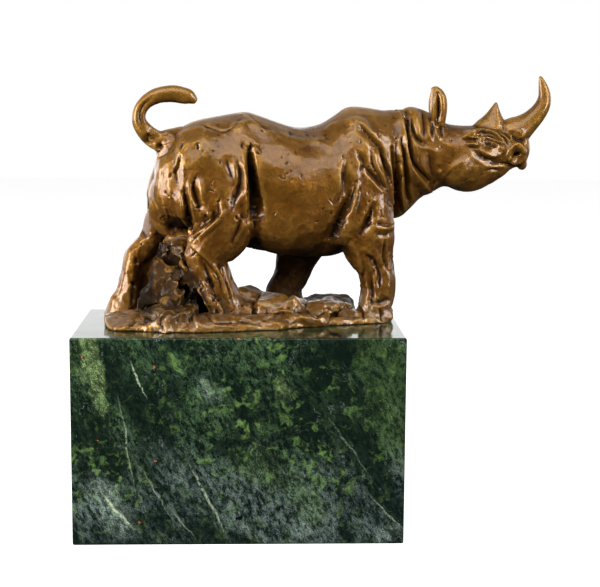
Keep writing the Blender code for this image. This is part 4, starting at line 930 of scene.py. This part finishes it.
# The middle of each point's neighbours.
def neighbourMean(points, edges, counts):
    total = np.stack([
        np.bincount(edges[:, 0], points[edges[:, 1], axis], len(points))
        + np.bincount(edges[:, 1], points[edges[:, 0], axis], len(points))
        for axis in range(3)
    ], axis=1)
    return total / counts[:, None]


# How far each point stands out of the skin around it, over a small and a large reach, and how much sky
# it sees.
def reliefAndSkyOf(mesh, seed):
    points, normals, tree = skinOf(mesh)
    edges = np.empty(len(mesh.edges) * 2, np.int32)
    mesh.edges.foreach_get("vertices", edges)
    edges = edges.reshape(-1, 2)
    counts = np.maximum(np.bincount(edges.ravel(), minlength=len(points)), 1)
    found, soft = [], points
    for rounds in (8, 64):
        for _ in range(rounds):
            soft = 0.5 * soft + 0.5 * neighbourMean(soft, edges, counts)
        found.append(((points - soft) * normals).sum(1))
    # how much sky each point sees sets the painted shade in the patina
    rays = unitRows(np.random.default_rng(seed).normal(size=(casting["skyRays"], 3)))
    # the sky is looked for at every fourth point, and the others take it from the three nearest of these
    chosen = np.arange(0, len(points), 4)
    lookup = KDTree(len(chosen))
    sky = np.zeros(len(chosen))
    for row, index in enumerate(chosen):
        place, out = points[index], normals[index]
        lookup.insert(place, row)
        start = Vector(place + out * 0.25)
        for ray in rays + out * 1.02:
            hit = tree.ray_cast(start, Vector(ray), casting["skyReach"])
            sky[row] += hit[0] is None and ray[2] > -0.35
    lookup.balance()
    sky /= len(rays)
    seen = np.empty(len(points))
    for index, place in enumerate(points):
        nearest = lookup.find_n(place, 3)
        weights = [1 / (distance + 0.2) for _, _, distance in nearest]
        seen[index] = sum(w * sky[row] for w, (_, row, _) in zip(weights, nearest)) / sum(weights)
    return found[0], found[1], seen


def bronzeFigure():
    seeds = casting["seeds"]
    body = fused("body", figureMasses(), 5)
    report(f"body run together, {len(body.data.vertices)} points")
    whole = fused("whole", [body] + groundMasses() + smallParts(), 0.6)
    keepLargest(whole)
    patted(whole, pats, seeds["pats"])
    crumpled(whole)
    patted(whole, finePats, seeds["finePats"])
    carve(whole, strokes)
    carve(whole, scatteredNicks(seeds["nicks"]))
    report(f"carved, {len(whole.data.vertices)} points")
    setPoints(whole.data, bentNeck(pointsOf(whole.data)))
    figure = thinned(whole, "bronzeCasting", casting["triangles"])
    cutFlat(figure)
    small, large, sky = reliefAndSkyOf(figure.data, seeds["sky"])
    marks = {
        "crest": share(small, 0.02, 0.30),
        "groove": share(-small, 0.02, 0.35),
        "swell": share(large, -0.9, 0.9),
        "sky": sky,
        "clay": clayShare(pointsOf(figure.data)),
    }
    for name, values in marks.items():
        mark = figure.data.attributes.new(name, "FLOAT", "POINT")
        mark.data.foreach_set("value", np.asarray(values, np.float32))
    report(f"wear found on {len(figure.data.polygons)} triangles")
    low, high = (np.array(corner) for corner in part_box("bronze_rhinoceros"))
    turned = pointsOf(figure.data) @ np.array(Matrix.Rotation(casting["turn"], 3, "Z")).T
    least, most = turned.min(0), turned.max(0)
    setPoints(figure.data, low + (turned - least) / (most - least) * (high - low))
    figure.data.shade_smooth()
    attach(figure, "root")
    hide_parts("bronze_rhinoceros")
    return figure


# A value, place or colour that changes over a surface; sums, products and the like of these make the nodes.
class Field:
    def __init__(self, socket):
        self.socket = socket
        self.tree = socket.id_data

    def __add__(self, other):
        return mathField("ADD", self, other)

    def __sub__(self, other):
        return mathField("SUBTRACT", self, other)

    def __mul__(self, other):
        return mathField("MULTIPLY", self, other)

    def __abs__(self):
        return mathField("ABSOLUTE", self)


def addNode(tree, kind, **settings):
    node = tree.nodes.new(kind)
    for name, value in settings.items():
        setattr(node, name, value)
    return node


def feed(socket, value):
    if isinstance(value, Field):
        value.tree.links.new(value.socket, socket)
    elif value is not None:
        socket.default_value = value


# What comes out of a new node with the given values on its inputs.
def fieldFrom(tree, kind, output, values, **settings):
    node = addNode(tree, kind, **settings)
    for label, value in values.items():
        feed(node.inputs[label], value)
    return Field(node.outputs[output])


def mathField(operation, first, second=None):
    return fieldFrom(first.tree, "ShaderNodeMath", 0, {0: first, 1: second}, operation=operation)


def vectorField(operation, *parts, output="Vector"):
    values = dict(enumerate(parts))
    return fieldFrom(parts[0].tree, "ShaderNodeVectorMath", output, values, operation=operation)


def greatest(first, *others):
    for other in others:
        first = mathField("MAXIMUM", first, other)
    return first


# Keeps the last sum or product between 0 and 1.
def clamped(field):
    field.socket.node.use_clamp = True
    return field


def mixed(amount, first, second, kind="RGBA"):
    values = {"Factor": amount, "A": first, "B": second}
    trees = [part.tree for part in (amount, first, second) if isinstance(part, Field)]
    return fieldFrom(trees[0], "ShaderNodeMix", "Result", values, data_type=kind)


def noise(position, scale, detail=4.0, roughness=0.55, output="Fac"):
    values = {"Vector": position, "Scale": scale, "Detail": detail, "Roughness": roughness}
    return fieldFrom(position.tree, "ShaderNodeTexNoise", output, values)


def remap(value, low, high, toLow=0.0, toHigh=1.0, smooth=True):
    values = {"Value": value, "From Min": low, "From Max": high, "To Min": toLow, "To Max": toHigh}
    kind = "SMOOTHSTEP" if smooth else "LINEAR"
    return fieldFrom(value.tree, "ShaderNodeMapRange", "Result", values, interpolation_type=kind)


def mapped(position, kind="POINT", **values):
    return fieldFrom(position.tree, "ShaderNodeMapping", 0, {"Vector": position, **values}, vector_type=kind)


def axesOf(position):
    node = addNode(position.tree, "ShaderNodeSeparateXYZ")
    feed(node.inputs[0], position)
    return [Field(socket) for socket in node.outputs]


def cellsOf(position, density):
    node = addNode(position.tree, "ShaderNodeTexVoronoi", feature="F1")
    feed(node.inputs["Vector"], position)
    feed(node.inputs["Scale"], density)
    return {socket.name: Field(socket) for socket in node.outputs}


def millimetres(tree):
    place = fieldFrom(tree, "ShaderNodeTexCoord", "Object", {})
    return fieldFrom(tree, "ShaderNodeVectorMath", 0, {0: place, "Scale": 1000.0}, operation="SCALE")


# A new shader node group, with the fields that come into it and the sockets that take what it puts out.
def newGroup(name, inputs, output):
    group = bpy.data.node_groups.new(name, "ShaderNodeTree")
    group.interface.new_socket(name="Position", in_out="INPUT", socket_type="NodeSocketVector")
    for label, value in inputs.items():
        socket = group.interface.new_socket(name=label, in_out="INPUT", socket_type="NodeSocketFloat")
        socket.default_value = value
    group.interface.new_socket(name=output, in_out="OUTPUT", socket_type="NodeSocketFloat")
    given = group.nodes.new("NodeGroupInput").outputs
    fields = [Field(given[label]) for label in ("Position", *inputs)]
    return group, fields, group.nodes.new("NodeGroupOutput").inputs[output]


def placeGroup(group, **values):
    return fieldFrom(values["Position"].tree, "ShaderNodeGroup", 0, values, node_tree=group)


# how evenly a surface was rubbed: a wandering roughness, for the bronze and for the marble
def polishGroup():
    sizes = {"Size": 0.05, "Least": 0.1, "Most": 0.2}
    group, (position, size, least, most), out = newGroup("polish", sizes, "Roughness")
    mask = remap(noise(position, size, 5.0, 0.6), 0.3, 0.7)
    feed(out, remap(mask, 0.0, 1.0, least, most, smooth=False))
    return group


# small specks of another colour, for stone flecks and for patina spots
def speckGroup():
    sizes = {"Density": 0.2, "Radius": 0.2, "Share": 0.3}
    group, (position, density, radius, part), out = newGroup("specks", sizes, "Mask")
    cells = cellsOf(position, density)
    tone = fieldFrom(group, "ShaderNodeSeparateColor", 0, {0: cells["Color"]})
    spread = radius * (noise(position, 1.6, 3.0) + 0.5)
    inside = mathField("LESS_THAN", cells["Distance"], spread)
    feed(out, inside * mathField("LESS_THAN", tone, part))
    return group


# flat cells, each tilted its own way, as planes pressed in clay
def facetGroup():
    group, (position, density), out = newGroup("facets", {"Density": 0.2}, "Height")
    cells = cellsOf(position, density)
    offset = vectorField("SUBTRACT", position, cells["Position"])
    tilt = vectorField("SUBTRACT", cells["Color"], (0.5, 0.5, 0.5))
    feed(out, vectorField("DOT_PRODUCT", offset, tilt, output="Value"))
    return group


def newMaterial(name):
    made = bpy.data.materials.new(name)
    made.use_nodes = True
    return made, made.node_tree, made.node_tree.nodes["Principled BSDF"]


# the brown patina, with painted shade and a painted sheen of the top light; places in millimetres, and pairs
# are for where it is clean and where it is dark with patina and painted shade unless a note says otherwise
patina = {
    "mid": (0.160, 0.054, 0.003, 1),
    "dark": (0.095, 0.032, 0.002, 1),
    "topSheenColour": (0.190, 0.084, 0.009, 1),
    # near black, for the patina spots and grooves and for the painted shade
    "hollow": (0.006, 0.003, 0.001, 1),
    "rubbed": (0.40, 0.20, 0.030, 1),
    "dust": (0.26, 0.17, 0.085, 1),
    "topSheenHeights": (178.0, 214.0),  # where the brown turns to the painted sheen of the top light on the way up
    "underShadeHeights": (176.0, 158.0),  # where the painted shade under the body begins, and where it is full
    "dustHeights": (136.0, 122.0),  # the same for the dust on the ground
    "neckFrom": (78.0, 90.0),  # along X, where the head end begins, which gets less painted shade
    "rearFrom": (-46.0, -56.0),  # along X, where the rearmost leg begins, which gets less painted shade too
    "clayShadowFrom": (-43.0, -49.0),  # along X, where a painted shadow turns the clay between the hind legs black
    "roughness": (0.36, 0.50),  # least and most
    "patinaAndShadeRoughness": 0.30,
    "metallic": (0.52, 0.1),
    "coat": (0.78, 0.12),
    "coatRoughness": 0.20,
    "grainSize": 0.8,
    "grainDepth": 0.14,
    "rippleDepth": 0.16,
    "planeDepths": (0.12, 0.09),  # of the large and of the small planes
    "strandDepth": 0.35,
}


def bronzeMaterial(polish, specks, facets):
    made, tree, shader = newMaterial("brown patina and painted shade on bronze")
    position = millimetres(tree)
    x, y, z = axesOf(position)
    crest, groove, swell, sky, clay = (
        fieldFrom(tree, "ShaderNodeAttribute", "Fac", {}, attribute_name=name)
        for name in ("crest", "groove", "swell", "sky", "clay")
    )
    cloud = remap(noise(position, 0.045, 5.0, 0.6), 0.35, 0.65)
    mottle = remap(noise(position, 0.22, 4.0, 0.6), 0.35, 0.68)
    # painted sheen of the top light: the brown turns lighter and olive towards the top, broken up by clouds
    green = clamped(remap(z, *patina["topSheenHeights"], 0.15, 0.85) + (cloud - 0.5) * 0.5)
    colour = mixed(green, patina["mid"], patina["topSheenColour"])
    colour = mixed(mottle * 0.7, colour, patina["dark"])
    spots = placeGroup(specks, Position=position, Density=0.16, Radius=0.16, Share=0.35)
    colour = mixed(spots * 0.6, colour, patina["hollow"])
    rubbed = clamped(remap(crest + mottle * 0.12, 0.22, 0.95) * 0.40 + remap(swell, 0.5, 0.95) * 0.15)
    colour = mixed(rubbed, colour, patina["rubbed"])
    # the grooves and the broad hollows are darkened, partly as patina and partly as painted shade, and
    # painted shade lies where little of the sky is seen
    skyShade = remap(sky, 0.12, 0.58, 1.0, 0.0)
    skyShade = skyShade * remap(x, *patina["neckFrom"], 1.0, 0.35) * remap(x, *patina["rearFrom"], 1.0, 0.4)
    hollows = greatest(remap(groove, 0.12, 0.85) * 0.9, skyShade, remap(swell, 0.42, 0.05) * 0.55)
    # painted shade under the body, thickest on the legs and clay at the far side
    farSideShade = remap(y, -4.0, 16.0, 0.0, 0.75) * remap(x, -56.0, -44.0)
    shadeUnderBody = remap(z, *patina["underShadeHeights"]) * greatest(farSideShade, remap(sky, 0.25, 0.60, 0.85, 0.0))
    # painted shade darkens the clay between the hind legs, and a painted shadow makes its rear end nearly
    # black
    clayShade = clay * remap(sky, 0.3, 0.95, 1.0, 0.85) * remap(crest, 0.2, 1.0, 0.95, 0.45)
    rear = clay * remap(x, *patina["clayShadowFrom"], 0.0, 0.97)
    # the dark patina of the grooves together with the painted shade and the painted shadow
    patinaAndShade = greatest(hollows, shadeUnderBody, clayShade, rear)
    dusty = remap(z, *patina["dustHeights"]) * remap(mottle, 0.2, 0.9, 0.1, 0.7)
    colour = mixed(dusty, colour, patina["dust"])
    feed(shader.inputs["Base Color"], mixed(patinaAndShade, colour, patina["hollow"]))
    least, most = patina["roughness"]
    worn = placeGroup(polish, Position=position, Size=0.12, Least=least, Most=most)
    feed(shader.inputs["Roughness"], worn + patinaAndShade * patina["patinaAndShadeRoughness"])
    feed(shader.inputs["Metallic"], remap(patinaAndShade, 0.0, 1.0, *patina["metallic"]))
    feed(shader.inputs["Coat Weight"], remap(patinaAndShade, 0.0, 0.9, *patina["coat"]))
    shader.inputs["Coat Roughness"].default_value = patina["coatRoughness"]
    shader.inputs["Specular IOR Level"].default_value = 0.1
    # relief in millimetres: grain, ripples, two sizes of flat planes whose edges wander, and strands drawn
    # downwards by a comb-like tool in some places
    bent = vectorField("MULTIPLY_ADD", noise(position, 0.25, 2.0, 0.5, "Color"), (5, 5, 5), position)
    combed = remap(noise(position, 0.05, 3.0), 0.42, 0.58)
    largePlanes, smallPlanes = patina["planeDepths"]
    relief = noise(position, patina["grainSize"], 3.0, 0.6) * patina["grainDepth"]
    relief = relief + noise(position, 0.35, 3.0, 0.5) * patina["rippleDepth"]
    relief = relief + placeGroup(facets, Position=bent, Density=0.15) * largePlanes
    relief = relief + placeGroup(facets, Position=bent, Density=0.42) * smallPlanes
    strands = noise(mapped(bent, Scale=(1.0, 1.0, 0.2)), 0.55, 3.0, 0.6)
    relief = relief + combed * strands * patina["strandDepth"]
    bump = {"Strength": 1.0, "Distance": 0.001, "Height": relief}
    feed(shader.inputs["Normal"], fieldFrom(tree, "ShaderNodeBump", "Normal", bump))
    return made


# the plinth's green marble; places on its front in millimetres
marble = {
    "dark": (0.003, 0.009, 0.006, 1),
    "slate": (0.200, 0.265, 0.245, 1),
    "pine": (0.095, 0.175, 0.080, 1),
    "moss": (0.165, 0.290, 0.080, 1),
    "leaf": (0.300, 0.430, 0.160, 1),
    "cloud": (0.320, 0.420, 0.350, 1),
    "vein": (0.560, 0.680, 0.440, 1),
    "rust": (0.360, 0.120, 0.040, 1),
    "black": (0.003, 0.006, 0.005, 1),
    "foldDepth": 22.0,  # how far the beds are folded
    "streakLean": 28,  # of the grain, in degrees from upright
    "streakStretch": 0.5,
    "roughness": (0.05, 0.13),
    "shine": 1.32,
    "beds": [  # x, z, lean from upright in degrees, half length, half width, how soft, colour, strength
        (52, 88, -16, 46, 22, 0.8, "dark", 0.75),
        (-38, 84, -10, 40, 14, 0.8, "dark", 0.7),
        (84, 84, -14, 60, 18, 0.6, "dark", 0.9),
        (60, 90, -14, 52, 8, 0.6, "dark", 0.9),
        (79, 92, -14, 56, 14, 0.15, "moss", 0.20),
        (84, 64, -12, 30, 7, 0.3, "leaf", 0.10),
        (-78, 96, -13, 26, 7, 0.3, "leaf", 0.7),
        (-70, 22, -34, 26, 11, 0.6, "cloud", 0.8),
        (-15, 87, -50, 14, 8, 0.8, "cloud", 0.55),
        (23, 86, -20, 7, 6, 0.6, "leaf", 0.5),
        (35, 26, -30, 22, 12, 0.8, "moss", 0.45),
        (12, 40, -40, 20, 12, 0.8, "moss", 0.4),
        (34, 8, -30, 13, 7, 0.6, "cloud", 0.5),
        (80, 8, -40, 10, 7, 0.6, "cloud", 0.5),
        (5, 10, -38, 20, 5, 0.7, "cloud", 0.45),
        (-30, 40, -32, 24, 5, 0.7, "cloud", 0.35),
    ],
    "veins": [  # the same, for thin lines
        (-66, 20, -38, 18, 1.2, 0.6, "vein", 0.9),
        (-54, 92, -22, 14, 0.7, 0.6, "vein", 0.7),
        (-60, 56, -9, 34, 0.6, 0.8, "vein", 0.45),
        (-45, 30, -32, 26, 0.6, 0.8, "vein", 0.4),
        (-17, 26, -26, 26, 1.0, 0.7, "vein", 0.6),
        (-30, 12, -36, 16, 0.6, 0.8, "vein", 0.4),
        (60, 54, -35, 30, 0.7, 0.8, "vein", 0.25),
        (80, 18, -42, 20, 0.7, 0.8, "vein", 0.45),
    ],
}


def stoneLens(position, x, z, lean, length, width, softness):
    place = {"Location": (x, 0, z), "Rotation": (0, math.radians(lean), 0), "Scale": (width, 5000, length)}
    reach = vectorField("LENGTH", mapped(position, "TEXTURE", **place), output="Value")
    return remap(reach, 1.0, 1.0 - softness)


def marbleMaterial(polish, specks):
    made, tree, shader = newMaterial("polished green marble")
    position = millimetres(tree)
    # the beds lean, so that they cross the sides of the block as well
    x, y, z = axesOf(position)
    depth = y + 50.0
    corner = {"X": x + depth * 0.55, "Y": y, "Z": z + depth * 0.35}
    leaning = fieldFrom(tree, "ShaderNodeCombineXYZ", 0, corner)
    fold = marble["foldDepth"]
    pushed = vectorField("MULTIPLY_ADD", noise(position, 0.07, 6.0, 0.62, "Color"), (fold,) * 3, leaning)
    folded = vectorField("ADD", pushed, (-fold / 2,) * 3)
    nearlyStraight = mixed(0.3, leaning, folded, "VECTOR")
    turned = mapped(leaning, Rotation=(0, math.radians(marble["streakLean"]), 0))
    streaked = mapped(turned, Scale=(1.0, 1.0, marble["streakStretch"]))
    # the ground: fine grains of slate and pine in near black
    grain = remap(noise(streaked, 0.55, 9.0, 0.78), 0.43, 0.62)
    fine = remap(noise(position, 1.5, 4.0, 0.7), 0.38, 0.66)
    high = remap(z + noise(streaked, 0.03) * 90.0, 70.0, 120.0)
    patchy = remap(noise(streaked, 0.05, 5.0, 0.6), 0.40, 0.62, 0.12, 1.15)
    colour = mixed(high, marble["slate"], marble["pine"])
    colour = mixed(grain * patchy * (fine * 0.8 + 0.25), marble["dark"], colour)
    # moss-green crumbs everywhere, thicker in some places
    crumbs = remap(noise(folded, 0.17, 6.0, 0.62), 0.52, 0.74)
    where = remap(noise(streaked, 0.022, 3.0, 0.6), 0.42, 0.62, 0.15, 1.0)
    colour = mixed(crumbs * where, colour, marble["moss"])
    # beds and veins
    texture = grain * fine * 1.1 + 0.08
    broken = remap(noise(position, 0.6, 5.0, 0.65), 0.36, 0.6)
    for kind, place, mask, gain in (("beds", folded, texture, 1.6), ("veins", nearlyStraight, broken, 1.0)):
        for *shape, tone, strength in marble[kind]:
            amount = clamped(stoneLens(place, *shape) * mask * (strength * gain))
            colour = mixed(amount, colour, marble[tone])
    # pale threads, black cracks, rust specks and small dark holes
    thread = remap(abs(noise(streaked, 0.10, 5.0) - 0.5), 0.0, 0.010, 1.0, 0.0)
    threads = thread * remap(noise(position, 0.06, 3.0), 0.5, 0.62) * broken
    colour = mixed(threads * 0.4, colour, marble["cloud"])
    cracks = remap(abs(noise(streaked, 0.07, 7.0, 0.6) - 0.47), 0.0, 0.010, 0.8, 0.0)
    colour = mixed(cracks, colour, marble["black"])
    rust = placeGroup(specks, Position=nearlyStraight, Density=0.13, Radius=0.10, Share=0.12)
    colour = mixed(rust, colour, marble["rust"])
    holes = placeGroup(specks, Position=folded, Density=0.05, Radius=0.10, Share=0.16)
    feed(shader.inputs["Base Color"], mixed(holes, colour, marble["black"]))
    least, most = marble["roughness"]
    feed(shader.inputs["Roughness"], placeGroup(polish, Position=position, Size=0.05, Least=least, Most=most))
    shader.inputs["IOR"].default_value = marble["shine"]
    return made


# the studio; places in metres
studio = {
    "cameraPlace": (0.0045, -0.7986, 0.2477),
    "cameraAngles": (2.137, 8.32, 0.396),  # to the right, down and rolled, in degrees
    "focalPixels": 1426.3,
    "pixelsWide": 600,  # the picture that focalPixels is for
    "floorSize": 6.0,
    "floorColour": (0.85, 0.85, 0.85, 1),
    "floorBounce": (0.05, 0.05, 0.05, 1),  # the floor's colour for the light that it throws on the object
    "floorGlow": 0.7,
    "aim": (0.04, 0.0, 0.18),
    "softBoxes": {  # place, width, height, strength
        "leftBox": ((-0.85, -0.40, 0.36), 0.55, 0.70, 12.5),
        "rightBox": ((0.80, -0.45, 0.42), 0.20, 0.65, 14.0),
        "topBox": ((0.05, -0.80, 1.05), 1.30, 0.70, 3.1),
    },
    "roomEdges": (0.0, 0.6),
    "roomFront": 0.02,
    "roomBack": 2.0,
    "roomTop": 0.15,
    "roomHigh": 0.24,  # how much of the back's light is left high up
}


def studioScene():
    # camera at the photograph's viewing angle
    lens = bpy.data.cameras.new("camera")
    lens.sensor_width = 36.0
    lens.lens = studio["focalPixels"] / studio["pixelsWide"] * lens.sensor_width
    lens.clip_start = 0.05
    camera = linked("camera", lens)
    yaw, pitch, roll = (math.radians(a) for a in studio["cameraAngles"])
    ahead = Vector((math.sin(yaw) * math.cos(pitch), math.cos(yaw) * math.cos(pitch), -math.sin(pitch)))
    level = Vector((math.cos(yaw), -math.sin(yaw), 0))
    up = level.cross(ahead)
    right = level * math.cos(roll) + up * math.sin(roll)
    top = up * math.cos(roll) - level * math.sin(roll)
    turn = Matrix((right, top, -ahead)).transposed().to_4x4()
    camera.matrix_world = Matrix.Translation(studio["cameraPlace"]) @ turn
    bpy.context.scene.camera = camera
    # floor
    bm = bmesh.new()
    bmesh.ops.create_grid(bm, x_segments=1, y_segments=1, size=studio["floorSize"] / 2)
    floor = objectFrom("floor", bm)
    made, tree, shader = newMaterial("pale floor")
    shader.inputs["Roughness"].default_value = 0.9
    shader.inputs["Specular IOR Level"].default_value = 0.0
    shader.inputs["Emission Color"].default_value = (1, 1, 1, 1)
    shown = fieldFrom(tree, "ShaderNodeLightPath", "Is Camera Ray", {})
    feed(shader.inputs["Emission Strength"], shown * studio["floorGlow"])
    feed(shader.inputs["Base Color"], mixed(shown, studio["floorBounce"], studio["floorColour"]))
    floor.data.materials.append(made)
    # soft boxes
    for name, (place, width, height, strength) in studio["softBoxes"].items():
        light = bpy.data.lights.new(name, "AREA")
        light.shape = "RECTANGLE"
        light.size, light.size_y = width, height
        light.energy = strength * math.pi * width * height
        box = linked(name, light)
        box.location = place
        box.rotation_euler = (Vector(studio["aim"]) - Vector(place)).to_track_quat("-Z", "Y").to_euler()
    # the room: white where the camera looks, dimmer behind the camera and high up
    world = bpy.data.worlds.new("room")
    world.use_nodes = True
    tree = world.node_tree
    background = tree.nodes["Background"]
    background.inputs["Color"].default_value = (1, 1, 1, 1)
    _, y, z = axesOf(fieldFrom(tree, "ShaderNodeTexCoord", "Generated", {}))
    behind = remap(y, *studio["roomEdges"], studio["roomFront"], studio["roomBack"])
    behind = behind * remap(z, 0.12, 0.42, 1.0, studio["roomHigh"])
    above = remap(z, 0.2, 0.9, 0.0, studio["roomTop"])
    shown = fieldFrom(tree, "ShaderNodeLightPath", "Is Camera Ray", {})
    feed(background.inputs["Strength"], mixed(shown, behind + above, 1.0, "FLOAT"))
    bpy.context.scene.world = world
    bpy.context.scene.view_settings.view_transform = "Standard"


polish, specks, facets = polishGroup(), speckGroup(), facetGroup()
figure = bronzeFigure()
figure.data.materials.append(bronzeMaterial(polish, specks, facets))
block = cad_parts["marble_plinth"]
marbleFinish = marbleMaterial(polish, specks)
for slot in block.material_slots:
    slot.material = marbleFinish
report("finishes made")
studioScene()
report("studio made")
